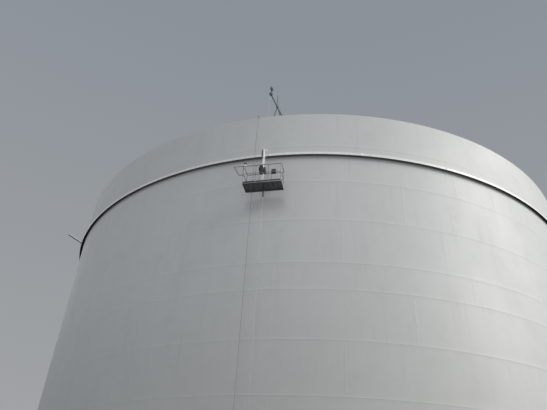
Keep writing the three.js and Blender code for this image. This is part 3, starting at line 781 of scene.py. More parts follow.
def makeGirder():
    top, inner, thick, bead, ease = pick(girder, "top inner thick bead ease")
    outer = inner + girder["reach"] - girder["bulge"]
    low = top - girder["leg"]

    def section(angle):
        gap = min(apart(angle, splice) for splice in girder["splices"])
        weld = beadLift(gap, girder["spliceHalf"], girder["spliceProud"])
        drop = noise.noise(around(angle, 3.0, 2.0)) * girder["sag"]
        edge = outer + weld + noise.noise(around(angle, 4.5, 7.0)) * girder["bulge"]
        back = edge - thick
        return [
            (inner, top + bead), (inner + bead, top + weld),
            (edge - ease, top + drop + weld), (edge, top + drop - ease),
            (edge, low + drop + ease), (edge - ease, low + drop),
            (back + ease, low + drop), (back, low + drop + ease),
            (back, top - thick - ease + drop), (back - ease, top - thick + drop),
            (inner + bead, top - thick), (inner, top - thick - bead),
        ]

    work = bmesh.new()
    addSweep(work, section, ringAngles(girder["steps"], girder["splices"], girder["spliceSpread"]))
    bmesh.ops.recalc_face_normals(work, faces=work.faces)
    # Painted shade: the downward faces and the inward faces of the leg, below the flange, get the near-black
    # finish.
    for face in work.faces:
        middle = face.calc_center_median()
        inward = face.normal.xy.dot(middle.xy) < -1.0
        if (face.normal.z < -0.5 or inward) and middle.z < top - thick / 2:
            face.material_index = 1
    coats = "girderPaint girderShade"
    finishMesh("wind_girder_ring", work, "tank", coats, "wind_girder", 40.0)


curb = {"outer": 18.9757, "leg": 0.1, "thick": 0.008, "ease": 0.002, "steps": 300}
bottom = {"edge": 19.06, "thick": 0.008, "ease": 0.001, "foot": 19.0, "hole": 0.02, "steps": 300}


def makeCurb():
    outer, leg, thick, ease = pick(curb, "outer leg thick ease")
    rim, back, under = tank["rim"], outer - thick, tank["rim"] - thick
    profile = [
        (back, rim - leg), (outer, rim - leg), (outer, rim - ease), (outer - ease, rim),
        (outer - leg, rim), (outer - leg, under), (back - ease, under), (back, under - ease),
    ]
    work = bmesh.new()
    addSweep(work, lambda angle: profile, ringAngles(curb["steps"]))
    finishMesh("rim_angle", work, "tank", "girderPaint", "curb_angle")


# The disc is swept as a ring with a small hole, whose wall gives way to two small lids.
def makeBottom():
    edge, thick, ease, foot, hole = pick(bottom, "edge thick ease foot hole")
    profile = [
        (hole, 0.0), (edge - ease, 0.0), (edge, ease), (edge, thick - ease), (edge - ease, thick),
        (foot + 0.014, thick), (foot - 0.002, thick + 0.016), (foot - 0.006, thick), (hole, thick),
    ]
    work = bmesh.new()
    addSweep(work, lambda angle: profile, ringAngles(bottom["steps"]))
    near = {vert for vert in work.verts if vert.co.xy.length < hole + 0.01}
    for height in (0.0, thick):
        ring = [vert for vert in near if abs(vert.co.z - height) < 1e-5]
        ring.sort(key=lambda vert: math.atan2(vert.co.y, vert.co.x))
        work.faces.new(ring)
    inner = [face for face in work.faces if len(face.verts) == 4 and near.issuperset(face.verts)]
    bmesh.ops.delete(work, geom=inner, context="FACES_ONLY")
    finishMesh("bottom_disc", work, "tank", "bottomPrimer", "bottom_plate")


roof = {
    "edge": 18.905,
    "crown": 0.6,
    "slope": 1 / 16,
    "plate": 0.006,
    "seat": 23.0003,
    "rings": [0.6, 2.1, 4.6, 7.4, 10.3, 13.2, 16.1, 18.905],
    "platesPerSector": [1, 1, 2, 2, 3, 3, 4],
    "lap": 0.03,
    "rise": 0.0055,
    "wave": 0.004,
}


def roofTop(radius):
    return roof["seat"] + (roof["edge"] - radius) * roof["slope"] + roof["plate"]


# Each plate is a thin slab. Upper plates lap over lower ones, and every second one over its neighbours.
def addRoofPlate(work, band, count, sector, number):
    inner, outer = roof["rings"][band], roof["rings"][band + 1]
    last = band == len(roof["platesPerSector"]) - 1
    over = (sector * count + number) % 2
    spread = 60.0 / count
    side = math.degrees(roof["lap"] / outer) * over * 0.5
    start = 90.0 + sector * 60.0 + number * spread - side
    end = start + spread + 2 * side
    edge = (outer, 0.0) if last else (outer + roof["lap"], 2 * roof["rise"])
    rows = [(inner, 0.0), (inner + 0.4 * (outer - inner), 0.0), edge]

    def section(angle):
        tops = []
        for radius, lift in rows:
            still = last and radius == outer
            wave = 0.0 if still else noise.noise(around(angle, radius, 5.0) * 0.5) * roof["wave"]
            tops.append((radius, roofTop(radius) + lift + over * roof["rise"] + wave))
        return tops + [(radius, height - roof["plate"]) for radius, height in reversed(tops)]

    steps = max(3, round(spread / 2.5))
    addSweep(work, section, [start + (end - start) * step / steps for step in range(steps + 1)], closed=False)


def makeRoof():
    for sector in range(6):
        work = bmesh.new()
        for band, count in enumerate(roof["platesPerSector"]):
            for number in range(count):
                addRoofPlate(work, band, count, sector, number)
        name, node = f"roof_plates_{sector + 1}", f"roof_sector_{sector + 1}"
        finishMesh(name, work, "tank", "roofPaint", node, 25.0)
    print("tank: roof plates lapped")


vent = {"lift": 0.0043, "crown": 0.66, "neck": 0.15, "rise": 0.3, "hood": 0.3, "brim": 0.06, "peak": 0.16,
        "screen": 0.17, "bars": 44}


def makeCrown():
    seat, rim = roofTop(roof["crown"]) + vent["lift"], vent["crown"]
    work = bmesh.new()
    addTurned(work, Matrix(), 96, [
        (0.0, seat), (rim - 0.012, seat), (rim, seat + 0.003), (rim, seat + 0.006),
        (rim - 0.002, seat + 0.0085), (0.0, seat + 0.0085),
    ])
    finishMesh("roof_centre_plate", work, "tank", "roofPaint", "roof_crown")

    neck, rise, hood, screen, bars = pick(vent, "neck rise hood screen bars")
    top = seat + 0.0083
    lift = top + rise
    brim, peak = lift + vent["brim"], lift + vent["peak"]
    work = bmesh.new()
    addTurned(work, Matrix(), 48, [
        (neck - 0.006, top), (neck + 0.012, top), (neck, top + 0.012), (neck, top + rise * 0.55),
        (neck - 0.006, top + rise * 0.55),
    ])
    addTurned(work, Matrix(), 64, [
        (0.0, peak), (0.05, peak - 0.004), (hood - 0.03, brim + 0.012), (hood - 0.006, brim - 0.006),
        (hood, brim - 0.03), (hood, lift), (hood - 0.003, lift), (hood - 0.004, brim - 0.03),
        (0.0, peak - 0.012),
    ])
    for step in range(4):
        addBlocks(work, Matrix.Rotation(math.radians(45.0 + 90.0 * step), 4, "Z"), [
            ((0.03, 0.006, rise * 0.62), (neck + 0.017, 0.0, top + rise * 0.72), 0.001),
            ((0.15, 0.006, 0.03), (neck + 0.075, 0.0, lift + 0.025), 0.001),
        ])
    for foot in circle(bars, screen, top + rise * 0.5):
        head = foot + Vector((0.0, 0.0, rise * 0.62))
        addRod(work, Matrix(), foot, head, 0.0018, 6, ease=0.0004, finish=1)
    for level in range(9):
        ring = top + rise * (0.52 + 0.068 * level)
        addTurned(work, Matrix(), bars, tubeRing(screen - 0.0015, screen + 0.0015, ring, ring + 0.003), 1)
    finishMesh("centre_vent", work, "tank", "roofPaint zincBolt", "roof_vent")
    line = circleLine(Matrix(), neck + 0.004, top + 0.003)
    addWelds("centre_vent_weld", "roofPaint", [line], 0.006, "tank")


hatch = {"angle": 100.0, "radius": 17.4, "neck": 0.3, "rise": 0.26, "lid": 0.35, "thick": 0.03, "bolts": 12,
         "circle": 0.325}


# A handle that stands up from a surface along the local Y.
def addHandle(work, place, x, low, high, half, bend, radius):
    points = [(x, -half, low), (x, -half, high), (x, half, high), (x, half, low)]
    addPipe(work, place, points, radius, bend=bend)


def makeHatch():
    neck, lid, top = hatch["neck"], hatch["lid"], roofTop(hatch["radius"]) + hatch["rise"]
    turn = Matrix.Rotation(math.radians(hatch["angle"] - 90.0), 4, "Z")
    place = Matrix.Translation(around(hatch["angle"], hatch["radius"], 0.0)) @ turn
    low = roofTop(hatch["radius"] + lid)
    cover = top + hatch["thick"]
    work = bmesh.new()
    addTurned(work, place, 48, [
        (neck - 0.008, low), (neck, low), (neck, top - 0.012), (lid - 0.01, top - 0.012), (lid - 0.01, top),
        (neck - 0.008, top),
    ])
    addTurned(work, place, 48, [
        (0.0, top + 0.001), (lid - 0.004, top + 0.001), (lid, top + 0.004), (lid, top + 0.01),
        (lid - 0.003, top + 0.013), (0.24, top + 0.0135), (0.2, cover), (0.0, cover),
    ])
    hinge = lid + 0.02
    addBlocks(work, place, [((0.1, 0.012, 0.07), (lid - 0.01, side * 0.07, top + 0.012)) for side in (-1, 1)])
    addRod(work, place, (hinge, -0.1, top + 0.02), (hinge, 0.1, top + 0.02), 0.011)
    addHandle(work, place, -0.1, cover - 0.006, cover + 0.055, 0.06, 0.02, 0.008)
    finishMesh("roof_manway", work, "tank", "roofPaint", "roof_hatch")
    spots = spotsAt(place, (0.0, 0.0, 1.0), circle(hatch["bolts"], hatch["circle"], top + 0.013, 0.5))
    addBolts("roof_manway_bolts", spots, 0.024, "tank")


# A nozzle on the wall: neck with its reinforcing pad, flange, blind cover and bolts.
openings = {
    "manhole": {"angle": 141.75, "height": 0.9, "neck": 0.305, "wall": 0.012, "reach": 0.3, "flange": 0.415,
                "thick": 0.018, "bolts": 28, "circle": 0.372, "pad": 0.6, "dome": 0.0,
                "nodes": ("manhole_neck", "manhole_cover"), "handles": (-0.16, 0.16)},
    "nozzle": {"angle": 155.25, "height": 0.6, "neck": 0.137, "wall": 0.01, "reach": 0.28, "flange": 0.205,
               "thick": 0.03, "bolts": 8, "circle": 0.171, "pad": 0.28, "dome": 0.003,
               "nodes": ("nozzle_neck", "nozzle_blind"), "handles": ()},
}


def makeOpening(kind):
    size = openings[kind]
    neck, flange, thick, reach, pad = pick(size, "neck flange thick reach pad")
    wall = tank["innerRadius"] + tank["thickness"][0]
    # The solid wall has 80 flat sides, and the neck stands on the middle of one.
    seat = wall * math.cos(math.pi / 80) + tank["gap"]
    bow = wall - seat
    outward = around(size["angle"], 1.0, 0.0)
    place = standOn(outward * seat + Vector((0.0, 0.0, size["height"])), outward)
    inner, back = neck - size["wall"], reach - thick
    work = bmesh.new()
    addTurned(work, place, 64, [
        (inner, 0.0), (neck, 0.0), (neck, back - 0.008), (neck + 0.008, back),
        *disc(flange, back, reach, 0.002)[1:5], (inner, reach),
    ])
    addTurned(work, place, 72, [
        (neck - 0.001, 0.0), (pad, -0.02), (pad, bow + 0.004), (pad - 0.004, bow + 0.01),
        (neck - 0.001, bow + 0.01),
    ])
    finishMesh(kind + "_body", work, "tank", "shellPaint", size["nodes"][0])
    base = reach + tank["gap"]
    top = base + thick
    domed = top + size["dome"]
    work = bmesh.new()
    plate = disc(flange, base, top, 0.002)[:5]
    addTurned(work, place, 64, [*plate, (neck, top), (neck - 0.02, domed), (0.0, domed)])
    for x in size["handles"]:
        addHandle(work, place, x, top - 0.004, top + 0.05, 0.06, 0.018, 0.009)
    finishMesh(kind + "_cover_plate", work, "tank", "shellPaint", size["nodes"][1])
    spots = []
    for point in circle(size["bolts"], size["circle"], 0.0, 0.5):
        for height, facing in ((top, 1.0), (back, -1.0)):
            spots += spotsAt(place, (0.0, 0.0, facing), [point + Vector((0.0, 0.0, height))])
    addBolts(kind + "_bolts", spots, 0.036, "tank")
    atNeck = circleLine(place, neck + 0.003, bow + 0.011, 72)
    atPad = circleLine(place, pad - 0.001, bow + 0.003, 96)
    addWelds(kind + "_welds", "weldPaint", [atNeck, atPad], 0.007, "tank")


# Points of the rib are given outward from the wall and up from the saddle.
sideArm = {
    "angle": -63.0,
    "radius": 0.075,
    "foot": (0.0, -19.07, 20.097),
    "tip": (0.0, -20.18, 20.57),
    "saddle": (0.26, 0.14, 0.012),
    "middle": -19.074,
    "seat": 20.0513,
    "rib": [(-19.01, 0.0), (-19.138, 0.0), (-19.138, 0.075), (-19.085, 0.095), (-19.02, 0.03)],
    "ribs": 0.073,
    "bolts": (0.108, 0.045),
}


def makeSideArm():
    radius, middle, seat, across = pick(sideArm, "radius middle seat ribs")
    turn = Matrix.Rotation(math.radians(sideArm["angle"]), 4, "Z")
    foot, tip = turn @ Vector(sideArm["foot"]), turn @ Vector(sideArm["tip"])
    along = (tip - foot).normalized()
    work = bmesh.new()
    addRod(work, Matrix(), foot, tip - along * 0.002, radius, 32, wall=0.005)
    addTurned(work, standOn(tip - along * 0.012, along), 32, disc(radius + 0.004, 0.0, 0.012, 0.003))
    addBlock(work, turn, sideArm["saddle"], (0.0, middle, seat), 0.002)
    for side in (-across, across):
        rows = [[work.verts.new(turn @ Vector((side + shift, y, seat + lift))) for y, lift in sideArm["rib"]]
                for shift in (-0.004, 0.004)]
        work.faces.new(rows[0])
        work.faces.new(rows[1])
        joinRows(work, rows)
    # Painted shade: the tube's downward faces get the near-black finish under its pale top.
    shadeBelow(work, 0.45)
    finishMesh("side_arm_tube", work, "tank", "armPaint girderShade", "side_arm")
    wide, deep = sideArm["bolts"]
    points = [(x, middle + y, seat + sideArm["saddle"][2] / 2) for x in (-wide, wide) for y in (-deep, deep)]
    addBolts("side_arm_bolts", spotsAt(turn, (0.0, 0.0, 1.0), points), 0.019, "tank")
    print("tank: roof fittings, manhole, nozzle and side arm made")


# The gear stands at one place round the tank. The boom is turned a little from square to the wall.
stand = {"turn": -7.72, "boomTurn": -20.3, "rope": (0.03, -19.76), "line": (-0.73, -19.22), "floor": 17.376}
gear = Matrix.Rotation(math.radians(stand["turn"]), 4, "Z")
ropePlace = gear @ Matrix.Translation((*stand["rope"], 0.0))
linePlace = gear @ Matrix.Translation((*stand["line"], 0.0))
davit = ropePlace @ Matrix.Rotation(math.radians(stand["boomTurn"]), 4, "Z")
cradle = gear @ Matrix.Translation((0.0, stand["rope"][1], stand["floor"]))

boom = {"width": 0.076, "tip": (0.0, 0.11, 24.144), "apex": (0.0, 0.864, 23.76), "tail": (0.0, 2.04, 23.161)}
sheave = {"radius": 0.15, "groove": 0.14, "centre": 0.1475, "height": 24.6, "half": 0.02, "hub": 0.0238,
          "plate": 0.014, "plateGap": 0.0043}
kingPost = {"radius": 0.028, "top": 24.64}
trestle = {"feet": (0.15, 0.51), "out": 18.942, "leg": 0.046}
ballast = {"side": 0.52, "centre": 1.96, "top": 23.3125, "slab": 0.058, "slabs": 5, "handled": 3}


def makeBoom(onBoom, tip, length):
    width = boom["width"]
    cap = width - 0.004
    work = bmesh.new()
    addBlocks(work, onBoom(tip), [
        ((width, width, length - 0.006), (0.0, 0.0, length / 2), 0.006),
        ((cap, cap, 0.006), (0.0, 0.0, 0.0), 0.002),
        ((cap, cap, 0.006), (0.0, 0.0, length), 0.002),
    ])
    finishMesh("davit_boom_tube", work, "tank", "davitPaint", "davit_boom")


def makeHead(bolts):
    _, y, z = boom["tip"]
    centre, high, plate = sheave["centre"], sheave["height"], sheave["plate"]
    work = bmesh.new()
    addBlock(work, davit, (0.15, 0.15, 0.15), (0.0, y, z), 0.01)
    for side in (-1, 1):
        x = side * (sheave["half"] + sheave["plateGap"] + plate / 2)
        addBlock(work, davit, (plate, 0.06, high - z), (x, centre, (high + z) / 2))
        boss = davit @ standOn((x - side * plate / 2, centre, high), (side, 0.0, 0.0))
        addTurned(work, boss, 32, disc(0.06, 0.0, plate, 0.002))
        addTurned(work, boss, 6, disc(0.026, 0.012, 0.024, 0.003))
        addBlock(work, davit, (0.01, 0.15, 0.012), (side * 0.076, y, z), 0.002)
        corners = [(side * 0.075, y + back, z + up) for back in (-0.05, 0.05) for up in (-0.05, 0.05)]
        bolts += spotsAt(davit, (side, 0.0, 0.0), corners)
    finishMesh("davit_head_block", work, "tank", "housingPaint", "davit_head")


def makeSheave():
    rim, groove, half, hub = pick(sheave, "radius groove half hub")
    wheel = davit @ standOn((0.0, sheave["centre"], sheave["height"]), (1.0, 0.0, 0.0))
    work = bmesh.new()
    addTurned(work, wheel, 64, [
        (rim - 0.035, -half), (rim - 0.002, -half), (rim, -half + 0.002), (rim - 0.001, -0.012),
        (groove, -0.007), (groove - 0.002, 0.0), (groove, 0.007),
        (rim - 0.001, 0.012), (rim, half - 0.002), (rim - 0.002, half), (rim - 0.035, half),
    ])
    addTurned(work, wheel, 40, tubeRing(0.014, 0.045, -hub, hub, 0.002))
    addTurned(work, wheel, 20, disc(0.0145, -hub - 0.001, hub + 0.001, 0.001))
    addTurned(work, wheel, 48, disc(rim - 0.03, -0.004, 0.004, 0.001))
    for step in range(6):
        spoke = wheel @ Matrix.Rotation(math.radians(60.0 * step), 4, "Z")
        addBlock(work, spoke, (0.085, 0.022, 0.012), (0.081, 0.0, 0.0), 0.004)
    finishMesh("davit_sheave_wheel", work, "tank", "housingPaint", "davit_sheave")


def makeTrestle(bolts, onApex, apex):
    up = Vector((0.0, 0.0, 1.0))
    leg = trestle["leg"]
    turnBack = Matrix.Rotation(math.radians(-stand["boomTurn"]), 3, "Z")
    work = bmesh.new()
    for across in trestle["feet"]:
        back = -stand["rope"][1] - trestle["out"]
        foot = turnBack @ Vector((across - stand["rope"][0], back, tank["rim"] + tank["gap"]))
        reach = apex - foot
        side = up.cross(reach)
        turn = Matrix((side.normalized(), reach.cross(side).normalized(), reach.normalized())).transposed()
        place = davit @ Matrix.Translation(foot) @ turn.to_4x4()
        addBlock(work, place, (leg, leg, reach.length - 0.02), (0.0, 0.0, reach.length / 2 + 0.012), 0.006)
        plate = davit @ Matrix.Translation(foot) @ turnBack.to_4x4()
        addBlocks(work, plate, [
            ((0.13, 0.056, 0.008), (0.0, 0.0, 0.004), 0.002),
            ((0.008, 0.05, 0.055), (0.026, 0.0, 0.034), 0.002),
            ((0.008, 0.05, 0.055), (-0.026, 0.0, 0.034), 0.002),
        ])
        bolts += spotsAt(plate, up, [(-0.05, 0.0, 0.008), (0.05, 0.0, 0.008)])
    addBlocks(work, onApex, [((0.012, 0.126, 0.126), (x, 0.0, 0.0)) for x in (-0.051, 0.051)])
    addBlocks(work, onApex, [((0.126, 0.012, 0.126), (0.0, y, 0.0)) for y in (-0.051, 0.051)])
    corners = [(x, -0.057, z) for x in (-0.04, 0.04) for z in (-0.035, 0.035)]
    bolts += spotsAt(onApex, (0.0, -1.0, 0.0), corners)
    high = Vector((0.0, apex.y, kingPost["top"]))
    addRod(work, davit, apex, high, kingPost["radius"], 24)
    addTurned(work, davit @ Matrix.Translation(high - up * 0.019), 24, disc(0.036, 0.0, 0.018, 0.004))
    finishMesh("davit_trestle_frame", work, "tank", "davitPaint", "davit_trestle")


def makeBallast():
    side, slab = ballast["side"], ballast["slab"]
    near, far = side / 2 - 0.004, side / 2 + 0.022
    work = bmesh.new()
    for layer in range(ballast["slabs"]):
        centre = Vector((0.0, ballast["centre"], ballast["top"] - layer * (slab + 0.002) - slab / 2))
        addBlock(work, davit, (side, side, slab), centre, 0.006)
        if layer < ballast["handled"]:
            for end in (-1, 1):
                handle = [(end * 0.09, near, -0.01), (end * 0.09, far, -0.01), (end * 0.2, far, -0.01),
                          (end * 0.2, near, -0.01)]
                addPipe(work, davit @ Matrix.Translation(centre), handle, 0.006, bend=0.012)
    finishMesh("ballast_slabs", work, "tank", "castIron", "davit_ballast")


def makeDavit():
    tip, tail, apex = Vector(boom["tip"]), Vector(boom["tail"]), Vector(boom["apex"])
    along = (tail - tip).normalized()
    side = Vector((1.0, 0.0, 0.0))
    lean = Matrix((side, along.cross(side), along)).transposed().to_4x4()

    def onBoom(point):
        return davit @ Matrix.Translation(point) @ lean

    bolts = []
    for step in (1, 2, 5, 6, 7):
        for facing in (-side, side):
            bolts += spotsAt(onBoom(tip.lerp(tail, step / 8)), facing, [facing * boom["width"] / 2])
    makeBoom(onBoom, tip, (tail - tip).length)
    makeHead(bolts)
    makeSheave()
    makeTrestle(bolts, onBoom(apex), apex)
    addBolts("davit_bolts", bolts, 0.016, "tank")
    makeBallast()
    print("tank: davit built")


ropes = {"anchor": (0.0, 1.9, 23.3185), "crest": 24.6463, "step": 0.017, "low": 0.3503, "lineLow": 0.4503}
bracket = {"middle": 23.0203, "half": 0.03}


def layRope(name, points, coat, node, values):
    edges = [(index, index + 1) for index in range(len(points) - 1)]
    finishPiece(name, growMesh(name, "rope", coat, points, values, edges), "tank", node, 70.0)


# The upper rope runs from the ballast over the king post and round the sheave.
def makeRopes():
    high, radius, crest = sheave["height"], sheave["centre"], ropes["crest"]
    upper = [davit @ Vector(point) for point in (ropes["anchor"], (0.0, 0.92, crest), (0.0, 0.808, crest))]
    for step in range(21):
        turn = math.radians(80.0 + 5.0 * step)
        upper.append(davit @ Vector((0.0, radius + radius * math.cos(turn), high + radius * math.sin(turn))))
    hanging = [ropePlace @ Vector((0.0, 0.0, z)) for z in (ropes["low"], high - 0.0009)]
    line = [linePlace @ Vector((0.0, 0.0, z)) for z in (ropes["lineLow"], tank["rim"])]
    wire = {"Rope Radius": 0.006, "Strands": 6, "Lay Length": 0.085, "Step": ropes["step"]}
    fibre = {"Rope Radius": 0.012, "Strands": 3, "Lay Length": 0.1, "Step": 0.02}
    layRope("davit_rope", upper, "ropeSteel", "upper_rope", wire)
    layRope("climbing_rope", hanging, "ropeSteel", "hoist_rope", wire)
    layRope("safety_line", line, "fibreLine", "drop_line", fibre)

    work = bmesh.new()
    addTurned(work, ropePlace, 40, [
        (0.0, 0.15), (0.045, 0.15), (0.055, 0.16), (0.055, 0.3), (0.048, 0.318), (0.02, 0.33),
        (0.014, 0.35), (0.0, 0.35),
    ])
    addTurned(work, ropePlace, 40, [(0.054, 0.215), (0.0565, 0.218), (0.0565, 0.242), (0.054, 0.245)])
    finishMesh("climbing_rope_weight", work, "tank", "castIron", "rope_weight")
    work = bmesh.new()
    addTurned(work, linePlace, 36, [
        (0.0, 0.3), (0.034, 0.3), (0.04, 0.308), (0.04, 0.42), (0.03, 0.438), (0.014, 0.45), (0.0, 0.45),
    ])
    finishMesh("safety_line_weight", work, "tank", "castIron", "drop_line_weight")

    middle, half = bracket["middle"], bracket["half"]
    work = bmesh.new()
    addBlocks(work, linePlace, [
        ((0.06, 0.335, 0.04), (0.0, 0.1375, middle), 0.005),
        ((0.084, 0.012, 0.075), (0.0, 0.315, middle), 0.003),
    ])
    addRod(work, linePlace, (half, 0.0, middle), (-half, 0.0, middle), 0.026, 24)
    finishMesh("safety_line_bracket", work, "tank", "shellPaint", "line_bracket")
    spots = spotsAt(linePlace, (0.0, 0.0, 1.0), [(0.0, y, middle + 0.02) for y in (0.265, 0.09)])
    addBolts("safety_line_bolts", spots, 0.018, "tank")
    print("tank: ropes laid")


cage = {"width": 2.03, "depth": 0.816, "frame": 0.06, "rim": 0.05, "tube": 0.019, "rail": 1.141,
        "knee": 0.639, "toe": 0.1, "ropeX": 0.03, "cross": (0.99, 0.5225, 0.055), "hole": 0.026,
        "holeReach": 0.34}
tread = {"pitch": 0.026, "rows": 13, "columns": 37, "reachX": 0.965, "reachY": 0.35, "clear": 0.045,
         "top": 0.0645, "slant": 45.0}


def makeCradleFloor():
    width, depth, high, rim, ropeX = pick(cage, "width depth frame rim ropeX")
    middle, inside = high / 2, depth - 2 * rim + 0.01
    work = bmesh.new()
    for side in (-1, 1):
        outerBeam = ((width, rim, high), (0.0, side * (depth - rim) / 2, middle), 0.006)
        crossBeams = [((rim, inside, high), (side * x, 0.0, middle), 0.004 if x < 0.1 else 0.006)
                      for x in cage["cross"]]
        addBlocks(work, cradle, [outerBeam, *crossBeams])
    for low, top in ((-cage["holeReach"], -cage["hole"]), (cage["hole"], cage["holeReach"])):
        addBlock(work, cradle, (0.1, top - low, 0.01), (0.0, (low + top) / 2, 0.008), 0.002)
    addTurned(work, cradle @ Matrix.Translation((ropeX, 0.0, 0.0)), 32, [
        (0.0252, 0.004), (0.047, 0.004), (0.048, 0.006), (0.048, 0.058), (0.0252, 0.058),
    ])
    addBlocks(work, cradle, [((0.03, inside, 0.03), (x, 0.0, 0.044)) for x in (-0.756, -0.289, 0.289, 0.756)])
    across, back = width / 2 - 0.085, depth / 2 - 0.085
    corners = [(x, y, 0.006) for x in (-across, across) for y in (-back, back)]
    addBlocks(work, cradle, [((0.11, 0.11, 0.008), corner, 0.002) for corner in corners])
    bmesh.ops.recalc_face_normals(work, faces=work.faces)
    # Painted shade: the downward and lowest faces of the frame get the dark alloy, the rest the paler alloy.
    low = stand["floor"] + 0.009
    for face in work.faces:
        face.material_index = 0 if face.normal.z < -0.5 or face.calc_center_median().z < low else 1
    finishMesh("floor_beams", work, "cradle", "beamAlloy cradleAlloy", "cradle_floor_frame")
    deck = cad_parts["cradle_deck"]
    deck.data.materials.clear()
    deck.data.materials.append(finishes["deckAlloy"])
    makeTread(ropeX)


def makeTread(ropeX):
    points, turns = [], []
    for row in range(-tread["rows"], tread["rows"] + 1):
        for column in range(-tread["columns"], tread["columns"] + 1):
            x, y = column * tread["pitch"], row * tread["pitch"]
            inside = abs(x) < tread["reachX"] and abs(y) < tread["reachY"]
            if inside and math.hypot(x - ropeX, y) > tread["clear"]:
                points.append(cradle @ Vector((x, y, tread["top"])))
                slant = tread["slant"] if (row + column) % 2 else -tread["slant"]
                turns.append((0.0, 0.0, math.radians(slant + stand["turn"])))
    values = {"Long Half": 0.0135, "Wide Half": 0.0042, "Rise": 0.0024}
    mesh = growMesh("deck_tread", "tread", "deckAlloy", points, values, facings=turns)
    finishPiece("deck_tread", mesh, "cradle", None, 30.0)


def makeGuard(name, node, length, place, bays, toeOut):
    tube, rail, knee, foot, toe = pick(cage, "tube rail knee frame toe")
    half = length / 2 - tube
    posts = [-half + 2 * half / bays * step for step in range(bays + 1)]
    work = bmesh.new()
    hoop = [(-half, 0.0, foot + 0.001), (-half, 0.0, rail), (half, 0.0, rail), (half, 0.0, foot + 0.001)]
    addPipe(work, place, hoop, tube, 16, 0.075, 6)
    addRod(work, place, (-half, 0.0, knee), (half, 0.0, knee), tube * 0.84)
    for x in posts[1:-1]:
        addRod(work, place, (x, 0.0, foot), (x, 0.0, rail), tube * 0.9)
    addBlocks(work, place, [
        ((2 * half, 0.004, toe - 0.006), (0.0, toeOut * 0.012, foot + toe / 2 + 0.002), 0.001),
        ((2 * half, 0.014, 0.004), (0.0, toeOut * 0.006, foot + 0.006), 0.001),
        ((2 * half, 0.014, 0.004), (0.0, toeOut * 0.006, foot + toe - 0.006), 0.001),
    ], 1)
    for x in posts:
        sleeve = tubeRing(0.0, tube + 0.0005, foot, foot + 0.07)
        addTurned(work, place @ Matrix.Translation((x, 0.0, 0.0)), 16, sleeve)
    finishMesh(name, work, "cradle", "cradleAlloy beamAlloy", node)
    points = [(x, -toeOut * tube, z) for x in posts for z in (foot + 0.02, foot + 0.05)]
    return spotsAt(place, (0.0, -toeOut, 0.0), points)


def makeGuards():
    width, depth, tube = cage["width"], cage["depth"], 2 * cage["tube"]
    along, across = (depth - tube) / 2, (width - tube) / 2
    endLength = depth - 2 * tube - 2 * tank["gap"]
    quarter = Matrix.Rotation(math.pi / 2, 4, "Z")
    spots = []
    for name, node, length, centre, turn, bays, toeOut in (
        ("outer_guard", "guard_outer", width, (0.0, -along, 0.0), Matrix(), 3, 1),
        ("wall_side_guard", "guard_wall_side", width, (0.0, along, 0.0), Matrix(), 3, -1),
        ("left_guard", "guard_left_end", endLength, (-across, 0.0, 0.0), quarter, 1, -1),
        ("right_guard", "guard_right_end", endLength, (across, 0.0, 0.0), quarter, 1, 1),
    ):
        spots += makeGuard(name, node, length, cradle @ Matrix.Translation(centre) @ turn, bays, toeOut)
    addBolts("guard_bolts", spots, 0.01, "cradle")
    print("tank: cradle cage built")


mast = {"x": -0.07, "width": 0.09, "foot": 0.064, "top": 2.5, "bands": (0.56, 1.46, 1.88), "eye": 2.43}
left = mast["x"] - mast["width"] / 2 - tank["gap"]
right = mast["x"] + mast["width"] / 2 + tank["gap"]


def makeMast():
    x, width, low, top, bands = pick(mast, "x width foot top bands")
    work = bmesh.new()
    addBlocks(work, cradle, [
        ((width - 0.002, width - 0.002, top - low - 0.01), (x, 0.0, (top + low) / 2), 0.009, 3),
        ((width - 0.001, width - 0.001, 0.01), (x, 0.0, top - 0.005)),
        ((0.2, 0.2, 0.01), (x - 0.02, 0.0, low + 0.006), 0.002),
        ((0.008, 0.055, 0.11), (x, -0.07, low + 0.062), 0.002),
        ((0.008, 0.055, 0.11), (x, 0.07, low + 0.062), 0.002),
        *[((width, width + 0.012, 0.045), (x, 0.0, z)) for z in bands],
    ])
    finishMesh("mast_tube", work, "cradle", "whitePaint", "mast")
    corners = [(x - 0.02 + across, y, low + 0.011) for across in (-0.08, 0.08) for y in (-0.08, 0.08)]
    spots = spotsAt(cradle, (0.0, 0.0, 1.0), corners)
    for z in bands:
        for side in (-1, 1):
            spots += spotsAt(cradle, (0.0, side, 0.0), [(x, side * 0.051, z)])
    addBolts("mast_bolts", spots, 0.018, "cradle")

    eyeX, eye = right + 0.065, mast["eye"]
    work = bmesh.new()
    addBlocks(work, cradle, [
        ((0.13, 0.008, 0.058), (eyeX, -0.04, eye)),
        ((0.13, 0.008, 0.058), (eyeX, 0.04, eye)),
        ((0.008, 0.088, 0.058), (eyeX - 0.061, 0.0, eye)),
    ])
    for shift in (-0.04, 0.04):
        axle = cradle @ standOn((cage["ropeX"] + shift, -0.044, eye), (0.0, 1.0, 0.0))
        addTurned(work, axle, 12, disc(0.006, 0.0, 0.088, 0.001))
        addTurned(work, axle, 24, [
            (0.0, 0.01), (0.017, 0.01), (0.017, 0.018), (0.011, 0.036), (0.011, 0.052), (0.017, 0.07),
            (0.017, 0.078), (0.0, 0.078),
        ])
    finishMesh("mast_rope_rollers", work, "cradle", "whitePaint", "mast_rope_guide")


